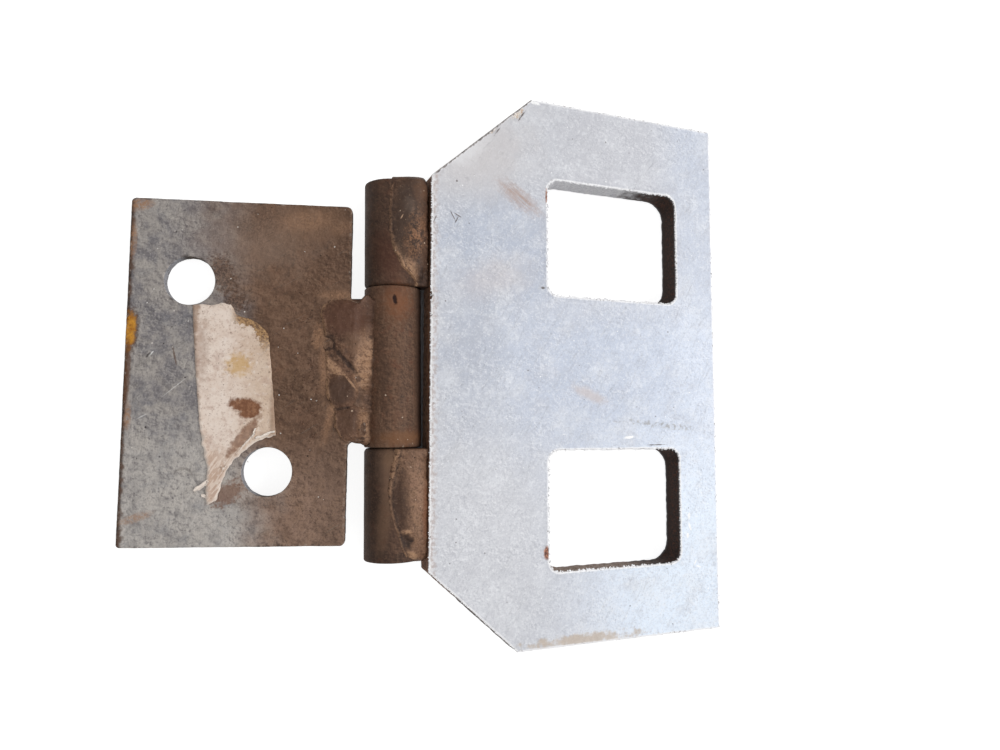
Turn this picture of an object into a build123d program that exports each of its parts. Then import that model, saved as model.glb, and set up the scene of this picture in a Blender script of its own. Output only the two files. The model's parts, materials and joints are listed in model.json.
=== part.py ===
from build123d import *
import os
from math import asin, atan2, cos, degrees, hypot, isclose, radians, sin, sqrt

# Weld-on hood hinge of a machine: a thick plate with two windows on one side, a thin bolted
# leaf on the other, and three knuckles on one pin between them.
# Each side is drawn flat about the hinge axis: the axis is Y, u runs out from it along the leaf
# and height is measured from the axis level. The two sides are then leaned until their outer
# back edges and the barrel touch the floor, which is how the loose hinge comes to rest.

# Barrel: three lengths of drilled bar on one pin
barrel_diameter = 16.0
upper_knuckle_length = 30.2
middle_knuckle_length = 44.7
lower_knuckle_length = 31.1
middle_knuckle_centre = -0.9
knuckle_gap = 0.3
knuckle_end_chamfer = 1.8
knuckle_seam_chamfer = 0.25

# Pin: held in the outer knuckles, runs in the middle one
pin_diameter = 9.0
pin_running_clearance = 0.05
pin_end_depth = 0.8
pin_end_chamfer = 0.7

# Window plate
plate_thickness = 8.0
plate_height = 164.0
plate_reach = 106.0
plate_root_gap = 0.05
plate_top_corner_reach = 40.0
plate_bottom_corner_reach = 35.3
plate_edge_top = 54.3
plate_edge_bottom = 57.6
plate_skew_angle = -0.65
plate_corner_radius = 0.8
plate_edge_break = 0.35

# Windows in the plate
window_width = 46.0
window_height = 35.6
window_corner_radius = 3.4
window_reach = 45.5
upper_window_centre = 39.9
lower_window_centre = -42.4

# Bolt leaf
leaf_thickness = 3.2
leaf_height = 93.0
leaf_centre = -3.3
leaf_reach = 70.0
leaf_inner_reach = 11.6
leaf_skew_angle = -1.1
leaf_corner_radius = 1.2
tab_top = 16.7
tab_bottom = -21.9
notch_radius = 1.7
tab_root_gap = 0.05
tab_land = 1.2

# Bolt holes in the leaf, as reach from the axis and place along it
bolt_hole_diameter = 13.0
upper_hole = (54.2, 21.0)
lower_hole = (32.5, -30.0)

# Weld beads on the front: crown over the steel, and how far the seat lies below the plate's face
bead_crown_height = 1.1
bead_step = 3.4
bead_end_wrap = 0.8
leaf_bead_crown_height = 1.1
leaf_bead_crest = 3.2
leaf_bead_reach = 20.6
leaf_bead_toe_angle = 131.0

# Weld beads on the back
back_bead_leg = 3.4
back_bead_bulge_height = 0.5
back_bead_end = 2.5
tab_back_bead_leg = 2.8
tab_back_bead_bulge_height = 0.5

# Every bead reaches a little into its neighbours, which are then cut out of it
bead_sink = 0.35
bead_core_depth = 1.6
root_angle = 8.0
cut_margin = 1.0

# Paper label, torn, on the leaf
label_thickness = 0.2
label_hole_gap = 0.2

# Derived sizes
barrel_radius = barrel_diameter / 2
pin_radius = pin_diameter / 2
middle_top = middle_knuckle_centre + middle_knuckle_length / 2
middle_bottom = middle_knuckle_centre - middle_knuckle_length / 2
upper_seam = middle_top + knuckle_gap
lower_seam = middle_bottom - knuckle_gap
upper_end = upper_seam + upper_knuckle_length
lower_end = lower_seam - lower_knuckle_length

# Both front faces are flush with the barrel's crest. The skew tips one end of the plate's edge
# toward the barrel, and the root gap is kept there.
plate_front = barrel_radius
plate_back = plate_front - plate_thickness
edge_tip = max(along * sin(radians(plate_skew_angle)) for along in (plate_edge_top, -plate_edge_bottom))
plate_edge = barrel_radius + plate_root_gap + edge_tip
leaf_front = barrel_radius
leaf_back = leaf_front - leaf_thickness
leaf_top = leaf_centre + leaf_height / 2
leaf_bottom = leaf_centre - leaf_height / 2
tab_bevel = leaf_thickness - tab_land
tab_end = sqrt(barrel_radius**2 - leaf_back**2) + tab_root_gap


def skewed_reach(reach, along, skew):
    """How far from the axis a corner of a leaf lies once the leaf is turned by its skew."""
    return reach * cos(radians(skew)) - along * sin(radians(skew))


def resting_lean(reach, back):
    """Lean at which a back edge at this reach is level with the underside of the barrel."""
    return degrees(asin(barrel_radius / hypot(reach, back)) + atan2(back, reach))


plate_half = plate_height / 2
plate_far = max(skewed_reach(plate_reach, v, plate_skew_angle) for v in (plate_half, -plate_half))
leaf_far = max(skewed_reach(leaf_reach, v, -leaf_skew_angle) for v in (leaf_top, leaf_bottom))
plate_lean = resting_lean(plate_far, plate_back)
leaf_lean = resting_lean(leaf_far, leaf_back)

# The plate lies toward +X and the leaf toward -X
plate_side = Rotation(0, plate_lean, 0)
leaf_side = Rotation(0, -leaf_lean, 0)
plate_turn = Rotation(0, 0, plate_skew_angle)
leaf_turn = Rotation(0, 0, leaf_skew_angle)


def along_axis(radius, low, high):
    """Round bar about the hinge axis, from low to high along it."""
    return Pos(0, (low + high) / 2, 0) * Rotation(90, 0, 0) * Cylinder(radius, high - low)


def end_edges(bar, along):
    """The rims of a bar's end face that lies at this place along the axis."""
    rims = bar.edges().filter_by(GeomType.CIRCLE)
    return rims.filter_by(lambda rim: isclose(rim.center().Y, along, abs_tol=0.001))


def knuckle_blank(low, high, low_chamfer, high_chamfer):
    """A knuckle's bar before it is drilled, with its two end chamfers."""
    bar = along_axis(barrel_radius, low, high)
    bar = chamfer(end_edges(bar, low), low_chamfer)
    return chamfer(end_edges(bar, high), high_chamfer)


upper_blank = knuckle_blank(upper_seam, upper_end, knuckle_seam_chamfer, knuckle_end_chamfer)
middle_blank = knuckle_blank(middle_bottom, middle_top, knuckle_seam_chamfer, knuckle_seam_chamfer)
lower_blank = knuckle_blank(lower_end, lower_seam, knuckle_end_chamfer, knuckle_seam_chamfer)


def drilled(blank, bore_radius):
    """A knuckle drilled right through for the pin."""
    return blank - along_axis(bore_radius, lower_end - cut_margin, upper_end + cut_margin)


def hinge_pin():
    """Plain pin with chamfered ends, a little short of the barrel at each end."""
    low = lower_end + pin_end_depth
    high = upper_end - pin_end_depth
    bar = along_axis(pin_radius, low, high)
    bar = chamfer(end_edges(bar, low), pin_end_chamfer)
    return chamfer(end_edges(bar, high), pin_end_chamfer)


def flat_plate(outline, back, thickness):
    """A plate cut from this closed outline, its back face at the given height."""
    return extrude(Pos(0, 0, back) * outline, amount=thickness)


def upright_edges(plate, corners):
    """The edges of a flat plate that stand on these corners of its outline."""
    uprights = plate.edges().filter_by(Axis.Z)
    return [min(uprights, key=lambda e: hypot(e.center().X - x, e.center().Y - y)) for x, y in corners]


def window_plate():
    """Thick plate with its two barrel-side corners cut away and two windows through it."""
    corners = [
        (plate_edge, plate_edge_top),
        (plate_top_corner_reach, plate_half),
        (plate_reach, plate_half),
        (plate_reach, -plate_half),
        (plate_bottom_corner_reach, -plate_half),
        (plate_edge, -plate_edge_bottom),
    ]
    plate = flat_plate(make_face(Polyline(*corners, close=True)), plate_back, plate_thickness)
    plate = fillet(upright_edges(plate, corners), plate_corner_radius)
    rims = plate.faces().sort_by(Axis.Z)
    plate = chamfer(rims[0].edges() + rims[-1].edges(), plate_edge_break)
    middle = window_reach + window_width / 2
    for centre in (upper_window_centre, lower_window_centre):
        window = Pos(middle, centre) * RectangleRounded(window_width, window_height, window_corner_radius)
        plate -= flat_plate(window, plate_back - cut_margin, plate_thickness + 2 * cut_margin)
    return plate_turn * plate


def bolt_holes(radius):
    """Round cutters through the leaf at the two bolt holes."""
    cutter = Cylinder(radius, leaf_thickness + 2 * cut_margin)
    middle = (leaf_front + leaf_back) / 2
    return [Pos(-reach, along, middle) * cutter for reach, along in (upper_hole, lower_hole)]


def bolt_leaf():
    """Thin leaf with two bolt holes and a tab that reaches between its notches to the barrel."""
    corners = [
        (-leaf_inner_reach, leaf_top),
        (-leaf_reach, leaf_top),
        (-leaf_reach, leaf_bottom),
        (-leaf_inner_reach, leaf_bottom),
    ]
    notch_corners = [(-leaf_inner_reach, tab_bottom), (-leaf_inner_reach, tab_top)]
    outline = [
        *corners,
        notch_corners[0],
        (-tab_end, tab_bottom),
        (-tab_end, tab_top),
        notch_corners[1],
    ]
    leaf = flat_plate(make_face(Polyline(*outline, close=True)), leaf_back, leaf_thickness)
    leaf = fillet(upright_edges(leaf, corners), leaf_corner_radius)
    leaf = fillet(upright_edges(leaf, notch_corners), notch_radius)
    leaf -= bolt_holes(bolt_hole_diameter / 2)
    tab_front_edge = leaf.edges().filter_by(Axis.Y).group_by(Axis.Z)[-1].sort_by(Axis.X)[-1]
    leaf = chamfer(tab_front_edge, tab_bevel)
    # The skew would tip the tab's end into the barrel, so the end is trimmed to the barrel
    return leaf_turn * leaf - along_axis(barrel_radius, middle_bottom, middle_top)


def polar(radius, angle):
    """Point of a section across the axis, at this angle up from the plate's side."""
    return (radius * cos(radians(angle)), radius * sin(radians(angle)))


def across(along):
    """Plane of a section across the hinge axis: its x is the reach and its y the height."""
    return Plane(origin=(0, along, 0), x_dir=(1, 0, 0), z_dir=(0, -1, 0))


def bulged(start, stop, bulge):
    """Middle of the line from start to stop, pushed out to the left of it."""
    run = stop[0] - start[0]
    rise = stop[1] - start[1]
    push = bulge / hypot(run, rise)
    return ((start[0] + stop[0]) / 2 - push * rise, (start[1] + stop[1]) / 2 + push * run)


def lofted_bead(start, stop, stations, form):
    """Bead from start to stop along the axis, lofted through closed sections.

    A station is a place from start (0) to stop (1) and the sizes there, from which form gives
    the three points of the free surface and the points that lie inside the neighbours. The
    surface is straight from one section to the next, so each section is a ripple's ridge or dip.
    """
    sections = []
    for place, *sizes in stations:
        surface, hidden = form(*sizes)
        outline = ThreePointArc(*surface) + Polyline(surface[-1], *hidden, surface[0])
        sections.append(across(start + place * (stop - start)) * make_face(outline))
    return loft(sections, ruled=True)


def front_bead(seam, end, stations):
    """Front bead in the groove between an outer knuckle and the plate's edge.

    It starts at the seam and wraps over the knuckle's outer end. A station's sizes are the
    angle of its toe round the knuckle and its share of the full crown.
    """
    seat = (plate_edge + bead_sink, plate_front - bead_step)
    root = (plate_edge + bead_sink, plate_back + 2 * bead_sink)
    knuckle_root = polar(barrel_radius - 2 * bead_sink, root_angle)
    seat_angle = degrees(atan2(seat[1], seat[0]))

    def form(toe_angle, fill):
        toe = polar(barrel_radius - bead_sink, toe_angle)
        crown = polar(barrel_radius + bead_crown_height * fill, (toe_angle + seat_angle) / 2)
        core = polar(barrel_radius - bead_core_depth, toe_angle / 2)
        return [toe, crown, seat], [root, knuckle_root, core]

    wrap = bead_end_wrap if end > seam else -bead_end_wrap
    return lofted_bead(seam, end + wrap, stations, form)


def back_bead(seam, end):
    """Fillet bead between an outer knuckle and the plate's back face."""
    knuckle_core = polar(barrel_radius - bead_core_depth, -root_angle)
    plate_root = (plate_edge + bead_sink, plate_back + bead_sink)

    def form(fill):
        leg = back_bead_leg * fill
        toe = (plate_edge + leg, plate_back + bead_sink)
        foot = polar(barrel_radius - bead_sink, -degrees(asin(leg / barrel_radius)))
        return [toe, bulged(toe, foot, back_bead_bulge_height * fill), foot], [knuckle_core, plate_root]

    inset = back_bead_end if end > seam else -back_bead_end
    return lofted_bead(seam + inset, end - inset, fillet_stations, form)


def leaf_bead():
    """Front bead of run-together puddles that fills the groove between the tab and the barrel.

    A station's sizes are its toe's share of the full reach on the leaf and its share of the crown.
    """
    contact_angle = 180 - degrees(asin(leaf_back / barrel_radius))
    groove_toe = polar(barrel_radius - bead_sink, leaf_bead_toe_angle)
    groove_core = polar(barrel_radius - bead_core_depth, contact_angle + root_angle)
    tab_root = (-tab_end - bead_sink, leaf_back + bead_sink)

    def form(spread, fill):
        toe = (-leaf_bead_reach * spread, leaf_front - bead_sink)
        crown = (-tab_end - leaf_bead_crest, leaf_front + leaf_bead_crown_height * fill)
        return [toe, crown, groove_toe], [groove_core, tab_root]

    return lofted_bead(tab_bottom, tab_top, puddle_stations, form)


def tab_back_bead():
    """Fillet bead between the tab's back face and the barrel."""
    contact_angle = 180 - degrees(asin(leaf_back / barrel_radius))
    knuckle_core = polar(barrel_radius - bead_core_depth, contact_angle)
    tab_root = (-tab_end - bead_sink, leaf_back + bead_sink)

    def form(fill):
        leg = tab_back_bead_leg * fill
        toe = (-tab_end - leg, leaf_back + bead_sink)
        foot = polar(barrel_radius - bead_sink, 180 - degrees(asin((leaf_back - leg) / barrel_radius)))
        return [foot, bulged(foot, toe, tab_back_bead_bulge_height * fill), toe], [tab_root, knuckle_core]

    return lofted_bead(tab_bottom + back_bead_end, tab_top - back_bead_end, fillet_stations, form)


def label_remnant():
    """What is left of a paper label, between the two bolt holes."""
    torn_outline = [
        (53.0, 14.0),
        (43.0, 15.4),
        (38.5, 12.4),
        (35.5, 8.6),
        (32.8, 7.3),
        (31.0, -6.0),
        (30.6, -20.2),
        (36.5, -22.2),
        (40.4, -27.0),
        (43.2, -29.5),
        (43.4, -34.0),
        (48.0, -38.7),
        (47.3, -29.5),
        (49.1, -22.9),
        (50.2, -8.0),
    ]
    paper = make_face(Polyline(*[(-reach, along) for reach, along in torn_outline], close=True))
    label = flat_plate(paper, leaf_front, label_thickness)
    return leaf_turn * (label - bolt_holes(bolt_hole_diameter / 2 + label_hole_gap))


# Stations of the beads, each at a place from its start (0) to its end (1).
# Back fillets: share of the full leg
fillet_stations = [(0.0, 0.45), (0.08, 0.9), (0.5, 1.0), (0.92, 0.95), (1.0, 0.5)]
# Outer knuckles' front beads: angle of the toe, share of the crown
upper_bead_stations = [
    (0.02, 54, 0.3),
    (0.16, 86, 0.7),
    (0.30, 106, 0.95),
    (0.46, 114, 1.0),
    (0.78, 114, 1.0),
    (0.92, 110, 1.0),
    (1.00, 98, 0.5),
]
lower_bead_stations = [
    (0.03, 99, 0.4),
    (0.12, 109, 0.7),
    (0.25, 116, 0.95),
    (0.45, 117, 1.0),
    (0.60, 108, 0.95),
    (0.75, 98, 0.8),
    (0.90, 86, 0.6),
    (0.98, 75, 0.3),
]
# Leaf's front bead: share of the full reach, share of the crown
puddle_stations = [
    (0.02, 0.68, 0.5),
    (0.13, 0.85, 0.95),
    (0.28, 0.90, 1.0),
    (0.42, 0.87, 0.65),
    (0.60, 0.99, 1.0),
    (0.85, 0.98, 1.0),
    (0.98, 0.75, 0.5),
]

plate = window_plate()
leaf = bolt_leaf()
tab_weld = leaf_bead() - middle_blank - leaf
upper_front_bead = front_bead(upper_seam, upper_end, upper_bead_stations)
lower_front_bead = front_bead(lower_seam, lower_end, lower_bead_stations)
nodes = {
    "window_plate": plate_side * plate,
    "upper_knuckle": plate_side * drilled(upper_blank, pin_radius),
    "lower_knuckle": plate_side * drilled(lower_blank, pin_radius),
    "hinge_pin": plate_side * hinge_pin(),
    "upper_front_weld": plate_side * (upper_front_bead - upper_blank - plate),
    "lower_front_weld": plate_side * (lower_front_bead - lower_blank - plate),
    "upper_back_weld": plate_side * (back_bead(upper_seam, upper_end) - upper_blank - plate),
    "lower_back_weld": plate_side * (back_bead(lower_seam, lower_end) - lower_blank - plate),
    "bolt_leaf": leaf_side * leaf,
    "middle_knuckle": leaf_side * drilled(middle_blank, pin_radius + pin_running_clearance),
    "leaf_front_weld": leaf_side * tab_weld,
    "leaf_back_weld": leaf_side * (tab_back_bead() - middle_blank - leaf - tab_weld),
    "label_remnant": leaf_side * label_remnant(),
}

# The frame's origin is on the floor, under the middle of the hinge
boxes = [shape.bounding_box() for shape in nodes.values()]
middle_x = (min(box.min.X for box in boxes) + max(box.max.X for box in boxes)) / 2
middle_y = (min(box.min.Y for box in boxes) + max(box.max.Y for box in boxes)) / 2
to_floor = Pos(-middle_x, -middle_y, -min(box.min.Z for box in boxes))

os.makedirs("parts", exist_ok=True)
for name, shape in nodes.items():
    export_step(to_floor * shape, f"parts/{name}.step")
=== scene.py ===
import json
import random
from math import atan2, ceil, cos, degrees, exp, hypot, pi, radians, sin, sqrt, tan

import bmesh
import bpy
import numpy as np
from mathutils import Matrix, Vector, noise
from mathutils.geometry import delaunay_2d_cdt


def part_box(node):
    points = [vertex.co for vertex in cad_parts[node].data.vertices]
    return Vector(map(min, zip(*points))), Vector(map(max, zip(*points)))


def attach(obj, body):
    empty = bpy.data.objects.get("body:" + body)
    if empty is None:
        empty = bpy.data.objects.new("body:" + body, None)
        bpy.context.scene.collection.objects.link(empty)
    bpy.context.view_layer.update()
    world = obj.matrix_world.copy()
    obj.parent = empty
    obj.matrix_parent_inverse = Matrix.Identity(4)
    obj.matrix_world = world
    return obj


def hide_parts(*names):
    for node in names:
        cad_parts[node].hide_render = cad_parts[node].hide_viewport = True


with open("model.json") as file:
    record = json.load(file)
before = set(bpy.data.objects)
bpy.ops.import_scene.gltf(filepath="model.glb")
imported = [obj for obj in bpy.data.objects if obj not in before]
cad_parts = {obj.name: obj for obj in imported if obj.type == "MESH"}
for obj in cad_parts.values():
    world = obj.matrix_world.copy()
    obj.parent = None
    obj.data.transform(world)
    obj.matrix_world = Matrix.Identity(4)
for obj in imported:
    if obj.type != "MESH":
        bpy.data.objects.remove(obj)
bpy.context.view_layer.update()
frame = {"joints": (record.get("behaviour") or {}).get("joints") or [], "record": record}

# The dressed hood hinge. Every piece is drawn in millimetres about the hinge pin, flat, and then
# carried to its place: x runs out from the pin, y along it and z up from its level.
MM = 0.001
mounts = {mount["name"]: mount for mount in frame["record"]["mounts"]}
pin_place = Vector(frame["joints"][0]["pos_m"])
middle_low, middle_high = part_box("middle_knuckle")
middle_knuckle_centre = -0.9
pin_place.y = (middle_low.y + middle_high.y) / 2 - middle_knuckle_centre * MM


def lean_of(mount):
    """How far this side leans about the pin, from the direction that its mount faces."""
    across, _, up = mounts[mount]["axis"]
    return atan2(across, up)


def side_matrix(lean, skew=0.0):
    """Carries a piece that is drawn flat, in millimetres, to its place on a leaned side."""
    turn = Matrix.Rotation(lean, 4, "Y") @ Matrix.Rotation(radians(skew), 4, "Z")
    return Matrix.Translation(pin_place) @ turn @ Matrix.Scale(MM, 4)


plate_lean = lean_of("plate_front")
leaf_lean = lean_of("upper_bolt_hole")
plate_skew, leaf_skew = -0.65, -1.1
plate_place = side_matrix(plate_lean, plate_skew)
leaf_place = side_matrix(leaf_lean, leaf_skew)
plate_bar_place = side_matrix(plate_lean)
leaf_bar_place = side_matrix(leaf_lean)
pin_frame = side_matrix(0.0)

# Barrel
bar_radius = 8.0
bore_radius = 4.5
running_clearance = 0.05
end_round = 1.3
seam_round = 0.32
bore_round = 0.3
seam_left_open = 0.15

# Window plate: its outline's corners with their radii, the steel on the left of the walk
plate_top = 8.0
plate_thickness = 8.0
plate_edge = 8.7
plate_corners = [
    (plate_edge, 54.3, 0.8),
    (plate_edge, -57.6, 0.8),
    (35.3, -82.0, 0.8),
    (106.0, -82.0, 0.9),
    (106.0, 82.0, 0.9),
    (40.0, 82.0, 1.1),
]
window_low_x, window_high_x = 45.5, 91.5
window_height = 35.6
window_round = 3.4
window_centres = (39.9, -42.4)

# Bolt leaf, which lies on the other side of the pin
leaf_top = 8.0
leaf_thickness = 3.2
leaf_back = leaf_top - leaf_thickness
leaf_edge = -11.6
tab_edge = -6.8
tab_low, tab_high = -21.9, 16.7
leaf_corners = [
    (leaf_edge, 43.2, 1.6),
    (-70.0, 43.2, 1.2),
    (-70.0, -49.8, 1.0),
    (leaf_edge, -49.8, 1.4),
    (leaf_edge, tab_low, 1.7),
    (tab_edge, tab_low, 0.3),
    (tab_edge, tab_high, 0.3),
    (leaf_edge, tab_high, 1.7),
]
bolt_hole_radius = 6.5
bolt_holes = ((-54.2, 21.0), (-32.5, -30.0))

# How finely the steel is meshed
rim_step = 0.5
rim_band = 1.7
hole_step = 0.4
WALL_MARKS = ("wall", "rim", "way_x")


def rough(point, size, salt):
    """Smooth noise from -1 to 1 whose lumps are about this size."""
    return noise.noise(Vector(point) / size + Vector((salt, 1.7 * salt, -salt)))


def ease(value, low, high):
    """0 below low, 1 above high and a smooth step between them."""
    share = min(max((value - low) / (high - low), 0.0), 1.0)
    return share * share * (3 - 2 * share)


def hump(distance, width):
    """Smooth hump: 1 at no distance, and next to nothing beyond twice the width."""
    return exp(-(distance / width) ** 2)


def new_mesh(name, vertices, faces, place, marks=(), labels=()):
    """Closed mesh from millimetre points, carried to its place, its faces pointing outward.

    Each point's marks are kept as attributes with these labels.
    """
    mesh = bpy.data.meshes.new(name)
    mesh.from_pydata([Vector(point) for point in vertices], [], faces)
    turn_outward(mesh)
    mesh.transform(place)
    mesh.shade_smooth()
    for index, label in enumerate(labels):
        layer = mesh.attributes.new(label, "FLOAT", "POINT")
        layer.data.foreach_set("value", [float(mark[index]) for mark in marks])
    return mesh


def turn_outward(mesh):
    """Turns a closed mesh's faces to point outward."""
    shape = bmesh.new()
    shape.from_mesh(mesh)
    bmesh.ops.recalc_face_normals(shape, faces=shape.faces)
    shape.to_mesh(mesh)
    shape.free()


def add_piece(name, mesh, finish, body, slot, *nodes):
    """A finished piece that rides on a body and stands for these nodes."""
    piece = bpy.data.objects.new(name, mesh)
    bpy.context.scene.collection.objects.link(piece)
    mesh.materials.clear()
    mesh.materials.append(finish)
    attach(piece, body)
    if nodes:
        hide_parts(*nodes)


# Outlines


def rounded_outline(corners, step):
    """Points along a closed outline, with its corners rounded and its runs cut into steps."""
    turned = []
    for index, (x, y, radius) in enumerate(corners):
        corner = Vector((x, y))
        way_in = (corner - Vector(corners[index - 1][:2])).normalized()
        way_out = (Vector(corners[(index + 1) % len(corners)][:2]) - corner).normalized()
        turn = atan2(way_in.x * way_out.y - way_in.y * way_out.x, way_in.dot(way_out))
        start = corner - way_in * radius * tan(abs(turn) / 2)
        side = 1 if turn > 0 else -1
        centre = start + Vector((-way_in.y, way_in.x)) * radius * side
        pieces = max(3, ceil(radius * abs(turn) / (step * 0.6)))
        for piece in range(pieces + 1):
            angle = turn * piece / pieces
            arm = start - centre
            turned.append(centre + Matrix.Rotation(angle, 2) @ arm)
    points = []
    for index, point in enumerate(turned):
        following = turned[(index + 1) % len(turned)]
        run = following - point
        cuts = max(1, round(run.length / step))
        points += [point + run * cut / cuts for cut in range(cuts)]
    return np.array(points)


def round_hole(centre, radius, step):
    """Points round a hole, walked so that the steel is on the left."""
    count = ceil(2 * pi * radius / step)
    angles = [-2 * pi * index / count for index in range(count)]
    x, y = centre
    return np.array([(x + radius * cos(angle), y + radius * sin(angle)) for angle in angles])


def window_outline(centre, step):
    """Points round a window, walked so that the steel is on the left."""
    low, high = centre - window_height / 2, centre + window_height / 2
    corners = [(window_low_x, low), (window_low_x, high), (window_high_x, high), (window_high_x, low)]
    return rounded_outline([(x, y, window_round) for x, y in corners], step)


def outward_ways(outline):
    """Unit ways out of the steel at each point of an outline."""
    ahead = np.roll(outline, -1, 0) - np.roll(outline, 1, 0)
    ahead /= np.linalg.norm(ahead, axis=1)[:, None]
    return np.stack([ahead[:, 1], -ahead[:, 0]], 1)


def inside(points, outlines):
    """Which points lie in the steel between these outlines."""
    crossings = np.zeros(len(points), int)
    for outline in outlines:
        for (x0, y0), (x1, y1) in zip(outline, np.roll(outline, -1, 0)):
            if y0 == y1:
                continue
            spans = (points[:, 1] > min(y0, y1)) & (points[:, 1] <= max(y0, y1))
            cut = x0 + (points[:, 1] - y0) / (y1 - y0) * (x1 - x0)
            crossings += spans & (cut > points[:, 0])
    return crossings % 2 == 1


def face_points(outlines, spacing, dents):
    """Points spread over a face inside its rims, closer together round each dent."""
    rim_clearance = 0.45
    corners = np.concatenate(outlines)
    (low_x, low_y), (high_x, high_y) = corners.min(0), corners.max(0)
    rows = np.arange(low_y, high_y, spacing * 0.87)
    spread = [
        (x + (row % 2) * spacing / 2, y)
        for row, y in enumerate(rows)
        for x in np.arange(low_x, high_x, spacing)
    ]
    points = np.array(spread)
    fine = []
    for x, y, length, width, angle, _ in dents:
        turn = np.array([[cos(angle), sin(angle)], [-sin(angle), cos(angle)]])
        local = (points - (x, y)) @ turn.T / (2.2 * length, 2.2 * width)
        points = points[np.linalg.norm(local, axis=1) > 1.15]
        for ring, count in ((0.0, 1), (0.45, 6), (0.9, 10), (1.4, 14), (2.1, 18)):
            for index in range(count):
                around = 2 * pi * (index + ring) / count
                spot = np.array([length * ring * cos(around), width * ring * sin(around)])
                fine.append(np.array([x, y]) + turn.T @ spot)
    points = np.concatenate([points, np.array(fine).reshape(-1, 2)])
    points = points[inside(points, outlines)]
    clear = np.ones(len(points), bool)
    for start in range(0, len(points), 500):
        part = points[start:start + 500]
        gaps = np.linalg.norm(part[:, None, :] - corners[None, :, :], axis=2).min(1)
        clear[start:start + 500] = gaps > rim_clearance
    return points[clear]


def fill(rings, spread):
    """Triangles over the steel between closed rings, through the points spread inside them."""
    points = [Vector(point) for ring in rings for point in ring] + [Vector(point) for point in spread]
    edges, owner, start = [], [], 0
    for number, ring in enumerate(rings):
        count = len(ring)
        edges += [(start + index, start + (index + 1) % count) for index in range(count)]
        owner += [number] * count
        start += count
    owner += [-1] * len(spread)
    _, _, faces, origins, _, _ = delaunay_2d_cdt(points, edges, [], 1, 1e-7)
    triangles = []
    for face in faces:
        corners = [origins[corner][0] for corner in face]
        owners = {owner[corner] for corner in corners}
        if len(owners) == 1 and owners.pop() > 0:
            continue
        a, b, c = (points[corner] for corner in corners)
        if (b - a).cross(c - a) < 0:
            corners.reverse()
        triangles.append(corners)
    return triangles


def clear_depths(outline, ways):
    """How far each point of an outline can move into the steel before it meets another side."""
    no_limit, depths = 1e9, []
    for (x, y), (way_x, way_y) in zip(outline, ways):
        gap_x, gap_y = outline[:, 0] - x, outline[:, 1] - y
        inward = -(gap_x * way_x + gap_y * way_y)
        ahead = inward > 1e-3
        reach = (gap_x ** 2 + gap_y ** 2)[ahead] / (2 * inward[ahead])
        depths.append(reach.min() if ahead.any() else no_limit)
    return depths


def rim_column(front, back, thickness, band, drawn_back):
    """Places down a worn edge: (inset, drop, lift) from the front face to the back face.

    front and back hold an edge's rounding, lip and wobble. drawn_back gives how far the wall
    stands back at a share of its depth.
    """
    column = []
    for (rounding, lip, wobble), side in ((front, 1), (back, -1)):
        rounding = min(rounding, 0.6 * band)
        shift = wobble if side > 0 else wobble + drawn_back(1.0)
        arc = []
        for angle in (5, 25, 45, 65, 85):
            inset = rounding * (1 - sin(radians(angle))) + shift
            drop = rounding * (1 - cos(radians(angle)))
            arc.append((inset, drop, lip * cos(radians(angle)) ** 2))
        halfway = rounding + 0.35 * (band - rounding) + min(0.0, shift)
        arc = [(band, 0.0, 0.0), (halfway, 0.0, 0.25 * lip)] + arc
        if side > 0:
            column += arc
            for share in (0.14, 0.24, 0.36, 0.5, 0.64, 0.76, 0.86):
                blended = front[2] * (1 - share) + back[2] * share
                column.append((blended + drawn_back(share), share * thickness, 0.0))
        else:
            column += [(inset, thickness - drop, -lift) for inset, drop, lift in reversed(arc)]
    return column


def cut_plate(outlines, top, thickness, spacing, surface, wear, wall):
    """Points, faces and wall marks of a worn flat plate.

    outlines has the outer outline first and then the holes'. surface gives the height errors of
    the two faces at a point. wear gives an edge's rounding, lip and wobble, and wall how far the
    wall stands back at a depth. A point's mark holds how much it belongs to a wall and which way
    that wall looks.
    """
    vertices, marks, walls, rings = [], [], [], []
    for number, outline in enumerate(outlines):
        ways = outward_ways(outline)
        ring, grid = [], []
        for (x, y), (way_x, way_y), depth in zip(outline, ways, clear_depths(outline, ways)):
            band = min(rim_band, 0.8 * depth)
            edges = wear(number, x, y, False), wear(number, x, y, True)
            column = rim_column(*edges, thickness, band, lambda share: wall(number, x, y, share))
            row = []
            for level, (inset, drop, lift) in enumerate(column):
                px, py = x - way_x * inset, y - way_y * inset
                share = drop / thickness
                error = surface.front(px, py) * (1 - share) + surface.back(px, py) * share
                row.append(len(vertices))
                vertices.append((px, py, top - drop + lift + error))
                depth_in = min(level, len(column) - 1 - level)
                marks.append((ease(depth_in, 3, 7), ease(depth_in, 1, 2) * ease(depth_in, 7, 5), way_x))
            grid.append(row)
            ring.append((x - way_x * band, y - way_y * band))
        rings.append(np.array(ring))
        walls.append(grid)
    spread = face_points(rings, spacing, surface.dents)
    triangles = fill(rings, spread)
    front_index = [row[0] for grid in walls for row in grid]
    back_index = [row[-1] for grid in walls for row in grid]
    for x, y in spread:
        front_index.append(len(vertices))
        vertices.append((x, y, top + surface.front(x, y)))
        back_index.append(len(vertices))
        vertices.append((x, y, top - thickness + surface.back(x, y)))
        marks += [(0.0, 0.0, 0.0)] * 2
    faces = [tuple(front_index[corner] for corner in corners) for corners in triangles]
    faces += [tuple(back_index[corner] for corner in reversed(corners)) for corners in triangles]
    for grid in walls:
        for row, following in zip(grid, grid[1:] + grid[:1]):
            for level in range(len(row) - 1):
                faces.append((row[level], row[level + 1], following[level + 1], following[level]))
    return vertices, faces, marks


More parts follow.
